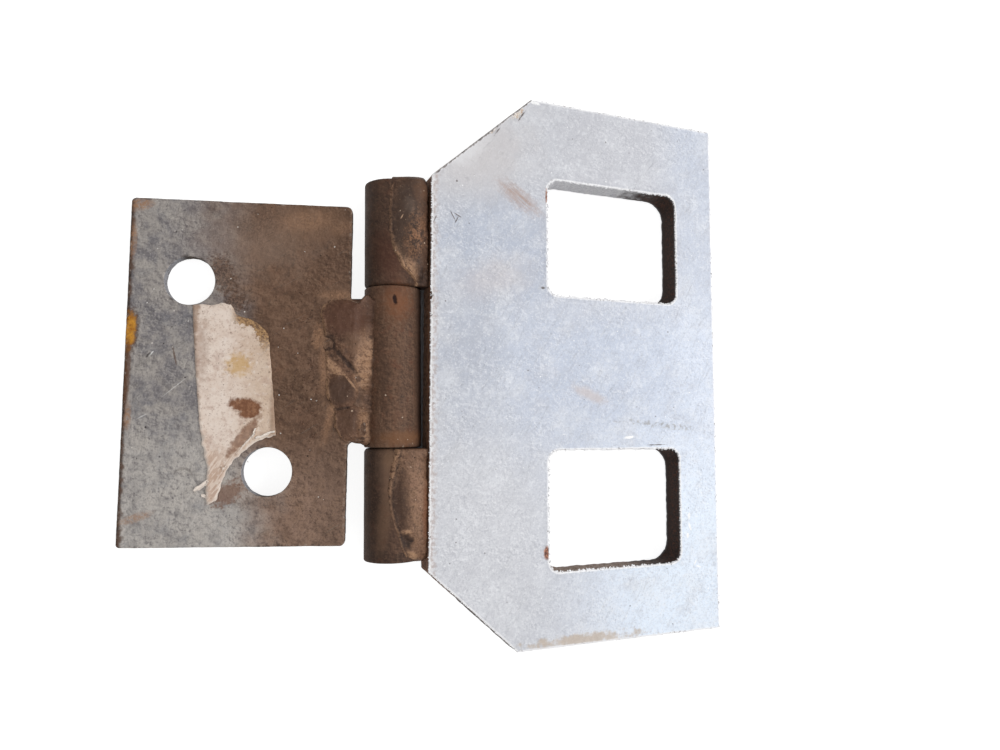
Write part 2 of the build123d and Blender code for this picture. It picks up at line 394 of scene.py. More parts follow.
class Surface:
    """Height errors of a plate's two faces: gentle waves, and dents in the front one.

    A dent is (x, y, length, width, angle, depth). fall gives how far the front face falls away.
    """

    def __init__(self, waves, dents, salt, fall=None):
        self.waves = waves
        self.dents = dents
        self.salt = salt
        self.fall = fall

    def swell(self, x, y, salt):
        broad = rough((x, y, 0), 34.0, salt)
        return self.waves * (broad + 0.35 * rough((x, y, 0), 9.0, salt + 3))

    def front(self, x, y):
        height = self.swell(x, y, self.salt) - (self.fall(x, y) if self.fall else 0.0)
        for dent_x, dent_y, length, width, angle, depth in self.dents:
            if abs(x - dent_x) > 4 * length or abs(y - dent_y) > 4 * length:
                continue
            along = (x - dent_x) * cos(angle) + (y - dent_y) * sin(angle)
            aside = (y - dent_y) * cos(angle) - (x - dent_x) * sin(angle)
            reach = hypot(along / length, aside / width)
            height += depth * (0.35 * hump(reach - 1.35, 0.45) - hump(reach, 0.85))
        return height

    def back(self, x, y):
        return self.swell(x, y, self.salt + 11)


def scattered_nicks(seed, count, low, high, listed):
    """Small nicks in a face, as dents, after the listed ones."""
    draw = random.Random(seed)
    nicks = list(listed)
    for _ in range(count):
        x, y = draw.uniform(low[0], high[0]), draw.uniform(low[1], high[1])
        length = draw.uniform(0.25, 0.7)
        width = length * draw.uniform(0.25, 0.7)
        nicks.append((x, y, length, width, draw.uniform(0, pi), draw.uniform(0.03, 0.09)))
    return nicks


# Node work for the finishes

# The colour sockets of a Mix node
COLOUR_A, COLOUR_B, COLOUR_OUT = 6, 7, 2


class Finish:
    """A material under construction, with short calls for the nodes that finishes are made of."""

    def __init__(self, name, place):
        self.material = bpy.data.materials.new(name)
        self.material.use_nodes = True
        self.tree = self.material.node_tree
        self.shader = self.tree.nodes["Principled BSDF"]
        coordinates = self.node("ShaderNodeTexCoord")
        self.place = self.flat(coordinates.outputs["Object"], place)
        self.x, self.y, self.z = self.parts(self.place)
        self.wobbles = {}

    def node(self, kind, **settings):
        made = self.tree.nodes.new(kind)
        for name, value in settings.items():
            setattr(made, name, value)
        return made

    def feed(self, socket, value):
        if isinstance(value, bpy.types.NodeSocket):
            self.tree.links.new(value, socket)
        else:
            socket.default_value = value

    def flat(self, source, place):
        """The same point in the flat drawing of a side, in millimetres."""
        turned = self.node("ShaderNodeMapping", vector_type="TEXTURE")
        self.feed(turned.inputs["Location"], place.to_translation())
        self.feed(turned.inputs["Rotation"], place.to_3x3().normalized().to_euler())
        self.feed(turned.inputs["Scale"], (MM, MM, MM))
        self.feed(turned.inputs["Vector"], source)
        return turned.outputs[0]

    def mark(self, label):
        """A mark that the mesh's points carry."""
        return self.node("ShaderNodeAttribute", attribute_name=label).outputs["Fac"]

    def parts(self, vector):
        split = self.node("ShaderNodeSeparateXYZ")
        self.feed(split.inputs[0], vector)
        return split.outputs

    def worked(self, operation, first, second=0.0):
        """One or two values worked on by a Math node."""
        made = self.node("ShaderNodeMath", operation=operation)
        self.feed(made.inputs[0], first)
        self.feed(made.inputs[1], second)
        return made.outputs[0]

    def folded(self, operation, values):
        total = values[0]
        for value in values[1:]:
            total = self.worked(operation, total, value)
        return total

    def plus(self, *values):
        return self.folded("ADD", values)

    def times(self, *values):
        return self.folded("MULTIPLY", values)

    def less(self, first, second):
        return self.worked("SUBTRACT", first, second)

    def either(self, *values):
        """The greatest of some masks."""
        return self.folded("MAXIMUM", values)

    def rest(self, value):
        """What a share leaves of 1."""
        return self.worked("SUBTRACT", 1.0, value)

    def step(self, value, low, high):
        """0 below low, 1 above high, or the other way round where low is the larger."""
        made = self.node("ShaderNodeMapRange", interpolation_type="SMOOTHSTEP")
        lows = (low, high, 0.0, 1.0) if low < high else (high, low, 1.0, 0.0)
        for socket, number in zip(("From Min", "From Max", "To Min", "To Max"), lows):
            self.feed(made.inputs[socket], number)
        self.feed(made.inputs["Value"], value)
        return made.outputs["Result"]

    def mix(self, share, first, second):
        made = self.node("ShaderNodeMix", data_type="RGBA")
        self.feed(made.inputs["Factor"], share)
        self.feed(made.inputs[COLOUR_A], first)
        self.feed(made.inputs[COLOUR_B], second)
        return made.outputs[COLOUR_OUT]

    def stretched(self, angle, scale, shift=(0.0, 0.0, 0.0)):
        """The place, turned in the face and stretched, for a pattern that runs one way."""
        made = self.node("ShaderNodeMapping", vector_type="TEXTURE")
        self.feed(made.inputs["Rotation"], (0.0, 0.0, radians(angle)))
        self.feed(made.inputs["Scale"], scale)
        self.feed(made.inputs["Location"], shift)
        self.feed(made.inputs["Vector"], self.place)
        return made.outputs[0]

    def cloud(self, size, detail, roughness, salt, source=None):
        """Noise from 0 to 1 whose lumps are about this size in millimetres."""
        moved = self.node("ShaderNodeVectorMath", operation="ADD")
        self.feed(moved.inputs[0], self.place if source is None else source)
        self.feed(moved.inputs[1], (salt * 13.7, salt * 7.1, salt * 3.3))
        made = self.node("ShaderNodeTexNoise")
        self.feed(made.inputs["Vector"], moved.outputs[0])
        self.feed(made.inputs["Scale"], 1.0 / size)
        self.feed(made.inputs["Detail"], detail)
        self.feed(made.inputs["Roughness"], roughness)
        return made.outputs[0]

    def specks(self, size, share, salt, low, high):
        """Small ragged specks in a share of the cells of this size, their radii from low to high."""
        moved = self.node("ShaderNodeVectorMath", operation="ADD")
        self.feed(moved.inputs[0], self.place)
        self.feed(moved.inputs[1], (salt * 5.3, salt * 9.1, salt * 2.7))
        cells = self.node("ShaderNodeTexVoronoi", feature="F1")
        self.feed(cells.inputs["Vector"], moved.outputs[0])
        self.feed(cells.inputs["Scale"], 1.0 / size)
        chance = self.parts(cells.outputs["Color"])
        radius = self.plus(low, self.times(chance[1], high - low))
        ragged = self.plus(radius, self.times(self.wobble(0.5), 0.22))
        reach = self.less(ragged, cells.outputs["Distance"])
        here = self.worked("GREATER_THAN", chance[0], 1.0 - share)
        return self.times(self.step(reach, 0.0, 0.07), here)

    def hairlines(self, angle, thickness, length, low, high, salt=0.0):
        """Fine scratches that run one way."""
        source = self.stretched(angle, (length, thickness, 40.0), (salt * 3.1, salt * 5.9, 0.0))
        return self.step(self.cloud(1.0, 1.0, 0.4, salt, source), low, high)

    def wobble(self, grain):
        """Noise round 0 that several masks share, with lumps of this size."""
        if grain not in self.wobbles:
            self.wobbles[grain] = self.less(self.cloud(grain, 4.0, 0.6, grain), 0.5)
        return self.wobbles[grain]

    def blotches(self, grain, low, high):
        """A mask of the wobble of this grain: 0 where it is at low, 1 where it is at high."""
        return self.step(self.wobble(grain), low, high)

    def mottled(self, grain, low, high, first, second):
        """One colour that breaks into another in blotches of this grain."""
        return self.mix(self.blotches(grain, low, high), first, second)

    def bumps(self, *pairs):
        """Relief from pairs of a grain and how strongly its wobble shows."""
        return self.plus(*[self.times(self.wobble(grain), strength) for grain, strength in pairs])

    def relief(self, grain):
        """How much the wobble of this grain faces up and to the right, as shading that bumps leave."""
        shifted = self.node("ShaderNodeVectorMath", operation="ADD")
        self.feed(shifted.inputs[0], self.place)
        self.feed(shifted.inputs[1], (0.22 * grain, 0.22 * grain, 0.0))
        beside = self.less(self.cloud(grain, 4.0, 0.6, grain, shifted.outputs[0]), 0.5)
        return self.less(self.wobble(grain), beside)

    def patch(self, centre, size, angle, ragged, grain=1.2, soft=0.4):
        """A stain round a point of the face: 1 inside its ragged oval, 0 outside."""
        made = self.node("ShaderNodeMapping", vector_type="TEXTURE")
        self.feed(made.inputs["Location"], (centre[0], centre[1], 0.0))
        self.feed(made.inputs["Rotation"], (0.0, 0.0, radians(angle)))
        self.feed(made.inputs["Scale"], (size[0], size[1], 1e4))
        self.feed(made.inputs["Vector"], self.place)
        reach = self.node("ShaderNodeVectorMath", operation="LENGTH")
        self.feed(reach.inputs[0], made.outputs[0])
        edge = self.plus(reach.outputs["Value"], self.times(self.wobble(grain), 2.0 * ragged))
        return self.step(edge, 1.0 + soft, 1.0 - soft)

    def patches(self, *rows):
        """Several patches as one mask."""
        return self.either(*[self.patch(*row) for row in rows])

    def layered(self, base, *layers):
        """A colour with layers over it, each given by its mask, its strength and its colour."""
        for mask, strength, colour in layers:
            base = self.mix(self.times(mask, strength), base, colour)
        return base

    def finish(self, colour, roughness, metallic, height=None, strength=0.3, distance=0.1):
        """Wires the shader up. Height is in millimetres of relief."""
        self.feed(self.shader.inputs["Base Color"], colour)
        self.feed(self.shader.inputs["Specular IOR Level"], 0.25)
        self.feed(self.shader.inputs["Roughness"], roughness)
        self.feed(self.shader.inputs["Metallic"], metallic)
        if height is not None:
            relief = self.node("ShaderNodeBump")
            self.feed(relief.inputs["Height"], height)
            self.feed(relief.inputs["Strength"], strength)
            self.feed(relief.inputs["Distance"], distance * MM)
            self.feed(self.shader.inputs["Normal"], relief.outputs[0])
        return self.material


def tone(red, green, blue):
    """A colour from its display values, 0 to 255."""
    def linear(value):
        share = value / 255
        return share / 12.92 if share <= 0.04045 else ((share + 0.055) / 1.055) ** 2.4

    return (linear(red), linear(green), linear(blue), 1.0)


# Finishes


def plated_finish():
    """Pale zinc on the thick plate, with smears, nicks, flaked rims and rusty walls, and painted light
    and shade across its face and on its walls.
    """
    f = Finish("zinc_plating", plate_place)
    # Painted light: the zinc is painted brighter and bluer toward the right, where the light falls
    # strongest and a pale sky is reflected, partly the zinc's own tone.
    lit_rightward = f.step(f.x, 24.0, 92.0)
    zinc = f.mix(lit_rightward, tone(204, 205, 210), tone(221, 229, 243))
    scratches = f.either(
        f.hairlines(62, 0.16, 9.0, 0.69, 0.76, 1.0),
        f.hairlines(48, 0.13, 13.0, 0.7, 0.77, 2.0),
        f.hairlines(-35, 0.14, 8.0, 0.74, 0.8, 3.0),
    )
    pits = f.specks(1.7, 0.13, 1.0, 0.05, 0.17)
    glints = f.specks(1.9, 0.16, 3.0, 0.04, 0.14)
    drawn = f.step(f.cloud(1.0, 2.0, 0.5, 5.0, f.stretched(-36, (7.0, 0.45, 8.0))), 0.36, 0.6)
    smears = f.patch((36.0, 50.9), (6.4, 2.3), -33, 0.8, 1.2, 0.8)
    smears = f.times(smears, f.plus(0.4, f.times(drawn, 0.6)))
    streak = f.patch((85.5, -17.0), (15.0, 0.9), -6, 1.3, 2.5, 0.5)
    streak = f.times(streak, f.blotches(1.2, -0.06, 0.1))
    marks = f.patches(
        ((37.0, 76.4), (0.22, 1.7), -34, 1.4),
        ((29.0, 70.3), (0.2, 1.3), -34, 1.4),
        ((83.0, -23.2), (3.2, 0.16), 1, 1.0),
        ((15.3, 43.0), (0.16, 1.5), 30, 0.4),
        ((16.7, 43.4), (0.16, 1.3), 62, 0.4),
        ((16.4, 42.0), (0.16, 1.1), -28, 0.4),
        ((9.9, 41.6), (0.16, 1.1), -24, 0.6),
        ((16.4, 53.5), (0.3, 0.3), 0, 0.4),
        ((12.1, -61.2), (0.6, 0.5), 0, 0.3),
        ((43.8, 24.1), (0.6, 0.4), 0, 0.3),
    )
    flakes = f.patches(
        ((35.4, 77.4), (2.3, 1.5), 60, 1.1, 1.2, 0.15),
        ((27.4, 70.6), (1.9, 0.8), 45, 1.1, 1.2, 0.15),
    )
    chip_places = [
        ((41.4, 81.2), (1.4, 0.6), -8),
        ((73.1, -20.8), (1.6, 0.4), 6),
        ((94.9, -46.0), (0.5, 1.0), 0),
        ((95.1, -49.1), (0.4, 1.2), 20),
        ((94.3, -52.0), (0.4, 0.8), 0),
        ((97.0, -60.6), (1.0, 0.25), 60),
        ((98.2, -62.0), (0.9, 0.25), -20),
        ((8.0, -41.4), (0.5, 1.3), 0),
        ((8.1, -50.4), (0.5, 1.2), 0),
        ((89.9, 24.2), (1.4, 0.5), 20),
        ((45.8, 55.9), (0.9, 0.4), 40),
        ((89.3, 57.8), (1.1, 0.4), -40),
    ]
    chips = f.patches(*[(*chip, 0.9, 1.2, 0.3) for chip in chip_places])
    fringe = f.step(f.plus(f.x, f.times(f.wobble(1.2), 4.0)), 11.6, 9.4)
    low_dirt = f.patch((58.0, -80.6), (16.0, 1.6), 0, 1.6, 2.5, 0.5)
    rim = f.mark("rim")
    bright_rim = f.times(rim, f.blotches(1.2, -0.24, -0.06))
    dark_rim = f.times(rim, f.step(f.cloud(1.0, 3.0, 0.6, 7.0), 0.6, 0.66))
    corner_x, corner_y = plate_corners[0][:2]
    slant = (plate_corners[5][1] - corner_y) / (plate_corners[5][0] - corner_x)
    past = f.plus(f.y, f.times(f.x, -slant), slant * corner_x - corner_y, f.times(f.wobble(1.2), 2.4))
    chamfer = f.times(f.step(past, -0.9, -0.5), f.step(f.x, 9.2, 10.5))
    rust_nicks = f.patches(
        ((45.0, 52.4), (0.28, 2.2), 0, 0.9),
        ((44.7, -54.5), (1.0, 1.9), 0, 0.3, 1.2, 0.3),
    )
    bumpy = f.step(f.cloud(9.0, 3.0, 0.6, 12.0), 0.46, 0.62)
    # Painted reflection: the upper part turns bluer toward the right edge.
    upper_tone = f.mix(f.step(f.x, 80.0, 98.0), tone(199, 199, 204), tone(198, 204, 217))
    zinc = f.layered(
        zinc,
        (f.patch((56.0, 2.0), (36.0, 30.0), 0, 0.6, 6.0, 0.7), 0.85, tone(195, 203, 219)),
        (f.times(f.step(f.y, 6.0, 38.0), f.step(f.x, 22.0, 60.0)), 0.85, upper_tone),
        # Painted reflection: the lower right is painted bluish white.
        (f.times(f.step(f.y, -12.0, -50.0), f.step(f.x, 50.0, 84.0)), 0.85, tone(231, 242, 255)),
        (f.patch((20.0, 4.0), (9.0, 24.0), 0, 0.6, 6.0, 0.7), 0.75, tone(182, 187, 199)),
        (f.patch((30.0, 36.0), (22.0, 15.0), 0, 0.5, 6.0, 0.6), 0.8, tone(182, 190, 206)),
        (f.patch((24.0, -50.0), (18.0, 26.0), 0, 0.6, 6.0, 0.7), 0.7, tone(213, 214, 219)),
        (f.step(f.cloud(12.0, 5.0, 0.62, 2.0), 0.48, 0.66), 0.3, tone(230, 232, 236)),
        (f.step(f.cloud(8.0, 5.0, 0.65, 3.0), 0.52, 0.68), 0.28, tone(192, 192, 198)),
        (f.blotches(2.5, 0.02, 0.18), 0.24, tone(240, 242, 246)),
        (f.blotches(2.5, -0.02, -0.18), 0.2, tone(184, 186, 194)),
        (f.blotches(1.2, 0.02, 0.16), 0.2, tone(244, 245, 248)),
        (f.blotches(1.2, -0.02, -0.16), 0.22, tone(180, 182, 190)),
        # Painted highlight and painted shade of the fine relief, lit from the upper right, where the
        # face is bumpy.
        (f.times(bumpy, f.step(f.relief(1.2), 0.03, 0.11)), 0.22, tone(250, 250, 252)),
        (f.times(bumpy, f.step(f.relief(1.2), -0.03, -0.11)), 0.18, tone(160, 162, 170)),
        (f.blotches(0.5, -0.04, -0.16), 0.3, tone(168, 170, 178)),
        (f.blotches(0.5, 0.06, 0.18), 0.4, tone(250, 250, 252)),
        (f.patch((26.0, 66.0), (16.0, 12.0), 40, 0.9, 6.0, 0.8), 0.4, tone(198, 196, 198)),
        (f.patch((28.0, 26.0), (10.0, 5.0), 20, 0.7, 6.0, 0.8), 0.4, tone(206, 196, 193)),
        (f.patch((24.0, 62.0), (14.0, 9.0), 40, 0.7, 6.0, 0.8), 0.45, tone(211, 205, 204)),
        (f.patch((59.5, -7.9), (5.5, 1.6), -20, 0.8, 2.5, 0.6), 0.6, tone(206, 194, 190)),
        (f.patch((19.0, 66.0), (5.0, 8.0), -30, 0.9, 2.5, 0.6), 0.5, tone(236, 236, 238)),
        (smears, 0.85, tone(182, 158, 147)),
        (streak, 0.65, tone(152, 149, 146)),
        (scratches, 0.5, tone(240, 242, 246)),
        (pits, 0.75, tone(112, 108, 110)),
        (glints, 0.9, tone(252, 252, 253)),
        (fringe, 0.6, f.mottled(1.2, -0.1, 0.1, tone(186, 168, 160), tone(232, 228, 226))),
        (low_dirt, 0.6, tone(190, 166, 136)),
        (flakes, 0.9, f.mottled(0.5, -0.12, 0.08, tone(200, 172, 148), tone(240, 236, 230))),
        (chips, 0.95, tone(252, 252, 252)),
        (marks, 0.8, tone(88, 76, 70)),
        (bright_rim, 0.95, tone(250, 250, 251)),
        (dark_rim, 0.85, tone(84, 70, 62)),
        (chamfer, 0.85, f.mottled(0.5, -0.1, 0.15, tone(70, 58, 54), tone(170, 160, 156))),
        (rust_nicks, 0.95, f.mottled(0.5, -0.1, 0.1, tone(96, 52, 36), tone(186, 126, 96))),
    )
    wall = f.mark("wall")
    grain = f.blotches(0.5, -0.2, 0.2)
    # Painted light: the walls that face along the pin in the upper window are painted near white, as
    # lit.
    grey_wall = f.mix(grain, tone(214, 213, 218), tone(252, 252, 254))
    tan_wall = f.mix(grain, tone(116, 96, 84), tone(190, 170, 158))
    brown_wall = f.mottled(0.5, -0.1, 0.12, tone(32, 23, 20), tone(68, 47, 39))
    brown_wall = f.mix(f.times(f.blotches(1.2, 0.0, 0.2), 0.5), brown_wall, tone(104, 62, 46))
    upper = f.step(f.y, -2.0, 2.0)
    across = f.mix(upper, tan_wall, grey_wall)
    far = f.step(f.plus(f.x, f.times(f.wobble(2.5), 22.0)), 70.0, 84.0)
    across = f.mix(far, across, brown_wall)
    # Painted shade: the walls that face the pin, turned from the lamp, are painted dark brown over their
    # rust.
    faces_pin = f.step(f.mark("way_x"), -0.35, -0.75)
    inner = f.step(f.x, 20.0, 14.0)
    # Painted shade: darker still toward the back, deep in the windows.
    deep_wall = f.mix(f.step(f.z, 4.0, 0.5), brown_wall, tone(44, 30, 24))
    # Painted light: the outer edge's wall, in the lamp's shadow, is painted a lighter brown.
    pin_side = f.mix(inner, deep_wall, tone(134, 98, 76))
    pin_side = f.mix(f.times(inner, f.blotches(1.2, -0.05, 0.15)), pin_side, tone(86, 60, 46))
    wall_tone = f.mix(faces_pin, across, pin_side)
    colour = f.mix(wall, zinc, wall_tone)
    dirty = f.either(wall, smears, flakes, dark_rim)
    dull = f.plus(0.46, f.times(f.cloud(5.0, 4.0, 0.6, 10.0), 0.24))
    metallic = f.times(f.rest(dirty), 0.12)
    bumps = f.bumps((2.5, 0.4), (1.2, 0.35), (0.5, 0.3))
    height = f.plus(bumps, f.times(scratches, -0.6), f.times(pits, -0.8), f.times(flakes, -0.8))
    return f.finish(colour, f.either(dull, f.times(dirty, 0.75)), metallic, height, 0.7, 0.12)


def leaf_finish():
    """Grey mill scale on the leaf that turns brown toward the weld, with rust along its edges and
    painted highlight and shade on their rounding.
    """
    f = Finish("leaf_scale", leaf_place)
    reach = f.times(f.x, -1.0)
    grey = f.mottled(6.0, -0.1, 0.1, tone(138, 134, 136), tone(164, 157, 152))
    grey = f.layered(
        grey,
        (f.step(f.y, -8.0, -30.0), 0.9, tone(200, 194, 188)),
        (f.step(f.cloud(7.0, 4.0, 0.6, 2.0), 0.52, 0.68), 0.4, tone(120, 122, 130)),
        (f.patch((-53.0, 34.0), (5.0, 7.0), 20, 0.8, 6.0, 0.8), 0.5, tone(156, 144, 138)),
    )
    brown = f.mix(f.step(f.cloud(9.0, 5.0, 0.6, 3.0), 0.35, 0.68), tone(98, 72, 55), tone(116, 87, 69))
    brown = f.layered(
        brown,
        (f.blotches(6.0, 0.04, 0.2), 0.5, tone(104, 66, 44)),
        (f.step(f.y, -16.0, -38.0), 0.9, tone(152, 124, 107)),
        (f.step(f.x, -22.0, -13.0), 0.35, tone(84, 62, 49)),
        (f.step(f.plus(reach, f.times(f.wobble(6.0), 20.0)), 36.0, 46.0), 0.6, tone(126, 106, 94)),
    )
    wander = f.times(f.less(f.cloud(14.0, 5.0, 0.62, 5.0), 0.5), 26.0)
    border = f.plus(reach, f.times(f.y, -0.13), wander)
    greyness = f.step(border, 31.0, 51.0)
    steel = f.mix(greyness, brown, grey)
    tan_marks = f.either(
        f.times(f.patch((-24.0, 38.6), (7.0, 2.6), 8, 0.9, 1.2, 0.6), 0.6),
        f.times(f.patch((-14.5, 37.0), (3.0, 2.0), 30, 0.9, 1.2, 0.6), 0.4),
        f.times(f.patch((-19.8, 6.6), (1.8, 3.4), 0, 1.4), 0.95),
        f.times(f.patch((-18.4, -2.0), (1.0, 8.0), 3, 1.6, 1.2, 0.6), 0.85),
        f.times(f.patch((-16.2, -15.0), (1.2, 7.0), -14, 1.6, 1.2, 0.6), 0.85),
        f.times(f.patch((-14.6, 18.2), (5.4, 1.3), 0, 0.8, 1.2, 0.7), 0.8),
    )
    grain = f.step(f.plus(f.wobble(1.2), f.wobble(0.5)), -0.12, 0.16)
    dark_rust = f.either(
        f.patch((-45.6, 22.6), (3.2, 5.6), 25, 1.1),
        f.patch((-42.0, 15.4), (3.2, 2.6), 25, 1.1),
        f.times(f.patch((-36.0, 37.5), (6.0, 3.4), 10, 0.9, 2.5, 0.6), 0.5),
        f.times(f.patch((-33.0, -38.2), (6.0, 1.6), 0, 0.9, 1.2, 0.5), 0.6),
    )
    edge_rust = f.step(f.plus(reach, f.times(f.wobble(2.5), 5.0)), 68.3, 69.6)
    corner_rust = f.either(
        f.patch((-67.6, 41.4), (3.4, 1.7), 10, 0.8),
        f.patch((-68.9, 31.5), (0.9, 4.4), 0, 0.6),
        f.times(f.patch((-65.4, -42.0), (4.2, 1.1), 18, 0.8), 0.8),
        f.times(f.patch((-68.4, -15.5), (0.9, 3.4), 0, 0.6), 0.9),
    )
    orange = f.patch((-69.0, 7.0), (1.6, 4.9), -4, 0.5, 1.2, 0.3)
    orange_edge = f.patch((-68.9, 7.0), (2.3, 5.9), -4, 0.5, 1.2, 0.3)
    orange_tone = f.mottled(2.5, -0.2, 0.2, tone(150, 88, 24), tone(212, 150, 52))
    trail = f.patch((-69.1, -4.0), (0.9, 8.5), 0, 0.5, 2.5)
    moon = f.less(
        f.patch((-53.8, -30.9), (2.3, 2.2), 0, 0.12, 2.5, 0.1),
        f.patch((-53.9, -31.7), (2.3, 2.2), 0, 0.12, 2.5, 0.1),
    )
    scratches = f.either(
        f.hairlines(32, 0.2, 8.0, 0.71, 0.78, 1.0),
        f.hairlines(75, 0.16, 6.0, 0.72, 0.78, 2.0),
        f.hairlines(-50, 0.14, 5.0, 0.73, 0.79, 3.0),
    )
    listed = f.either(
        f.patch((-63.2, 1.1), (0.9, 0.2), 47, 0.4),
        f.times(f.patch((-57.0, -7.8), (3.4, 0.12), 41, 0.3), 0.55),
        f.times(f.patch((-64.7, -15.5), (1.2, 0.14), 29, 0.2), 0.6),
    )
    glints = f.either(f.specks(2.6, 0.07, 5.0, 0.04, 0.12), f.specks(1.3, 0.03, 6.0, 0.06, 0.2))
    pits = f.specks(1.9, 0.12, 7.0, 0.05, 0.15)
    bumpy = f.plus(0.25, f.times(f.step(f.cloud(8.0, 3.0, 0.6, 12.0), 0.44, 0.6), 0.75))
    pale = f.mix(greyness, tone(134, 106, 86), tone(188, 181, 174))
    dim = f.mix(greyness, tone(68, 48, 37), tone(106, 101, 103))
    steel = f.layered(
        steel,
        (f.blotches(6.0, 0.0, 0.14), 0.3, pale),
        (f.blotches(6.0, 0.0, -0.14), 0.22, dim),
        (f.blotches(2.5, 0.0, 0.18), 0.4, pale),
        (f.blotches(2.5, 0.0, -0.18), 0.36, dim),
        (f.blotches(1.2, 0.02, 0.2), 0.32, pale),
        (f.blotches(1.2, -0.02, -0.2), 0.36, dim),
        (f.blotches(0.5, 0.04, 0.2), 0.36, pale),
        (f.blotches(0.5, -0.04, -0.2), 0.42, dim),
        # Painted highlight and painted shade of the fine relief, lit from the upper right.
        (f.times(bumpy, f.step(f.relief(1.2), 0.02, 0.1)), 0.36, pale),
        (f.times(bumpy, f.step(f.relief(1.2), -0.02, -0.1)), 0.4, dim),
        (f.step(f.relief(2.5), 0.03, 0.1), 0.12, pale),
        (f.step(f.relief(2.5), -0.03, -0.1), 0.16, dim),
        (f.patch((-36.0, 33.0), (12.0, 9.0), 6, 1.0, 6.0, 0.8), 0.5, tone(148, 124, 108)),
        # Painted shade on the rounded outer edge.
        (f.step(reach, 68.6, 69.4), 0.8, tone(52, 40, 34)),
        (f.patch((-24.0, 37.5), (9.0, 4.5), 10, 1.0, 2.5, 0.7), 0.4, tone(128, 98, 76)),
        (f.patch((-42.6, -35.8), (4.4, 2.6), 30, 1.1), 0.8, tone(132, 100, 82)),
        (f.times(tan_marks, f.plus(0.45, f.times(grain, 0.55))), 0.85, tone(160, 122, 94)),
        (dark_rust, 0.75, f.mottled(0.5, -0.15, 0.15, tone(62, 42, 32), tone(120, 92, 74))),
        (edge_rust, 0.85, tone(88, 64, 50)),
        (f.times(corner_rust, f.plus(0.35, f.times(grain, 0.65))), 0.9, tone(158, 120, 92)),
        (orange_edge, 0.85, tone(84, 54, 36)),
        (orange, 0.95, orange_tone),
        (f.times(orange, f.blotches(1.2, -0.04, -0.2)), 0.6, tone(112, 62, 20)),
        (trail, 0.7, tone(100, 66, 44)),
        (f.step(moon, 0.0, 1.0), 0.35, tone(92, 84, 78)),
        (scratches, 0.14, tone(190, 180, 170)),
        (listed, 0.9, tone(232, 230, 228)),
        (f.patch((-57.2, 0.6), (2.4, 0.24), -77, 0.5), 0.7, tone(96, 70, 54)),
        (f.patch((-63.8, 0.8), (0.9, 0.3), 47, 0.4), 0.7, tone(48, 40, 38)),
        (pits, 0.75, tone(44, 34, 30)),
        (glints, 0.9, tone(222, 214, 206)),
    )
    # Painted highlight and painted shade on the rounded rims.
    rim = f.mark("rim")
    steel = f.mix(f.times(rim, f.blotches(1.2, 0.0, 0.2), 0.5), steel, tone(176, 164, 154))
    steel = f.mix(f.times(rim, f.blotches(2.5, 0.0, -0.2), 0.7), steel, tone(50, 38, 32))
    wall = f.mark("wall")
    wall_tone = f.mottled(1.2, -0.2, 0.2, tone(52, 42, 36), tone(98, 82, 72))
    in_hole = f.patches(*[(hole, (7.5, 7.5), 0, 0.0, 2.5, 0.35) for hole in bolt_holes])
    bare = f.mottled(0.5, -0.2, 0.2, tone(150, 148, 152), tone(205, 206, 212))
    wall_tone = f.mix(f.times(in_hole, f.step(f.mark("way_x"), 0.1, 0.5)), wall_tone, bare)
    colour = f.mix(wall, steel, wall_tone)
    rusty = f.either(orange, corner_rust, dark_rust, edge_rust, tan_marks, wall)
    dull = f.plus(0.44, f.times(f.cloud(3.0, 4.0, 0.6, 11.0), 0.22))
    metallic = f.times(f.rest(rusty), f.plus(0.1, f.times(greyness, 0.25)))
    bumps = f.bumps((2.5, 0.8), (1.2, 0.9), (0.5, 0.5))
    height = f.plus(bumps, f.times(scratches, -0.3), f.times(pits, -0.9), f.times(orange, 0.5))
    return f.finish(colour, f.either(dull, f.times(rusty, 0.8)), metallic, height, 0.9, 0.3)


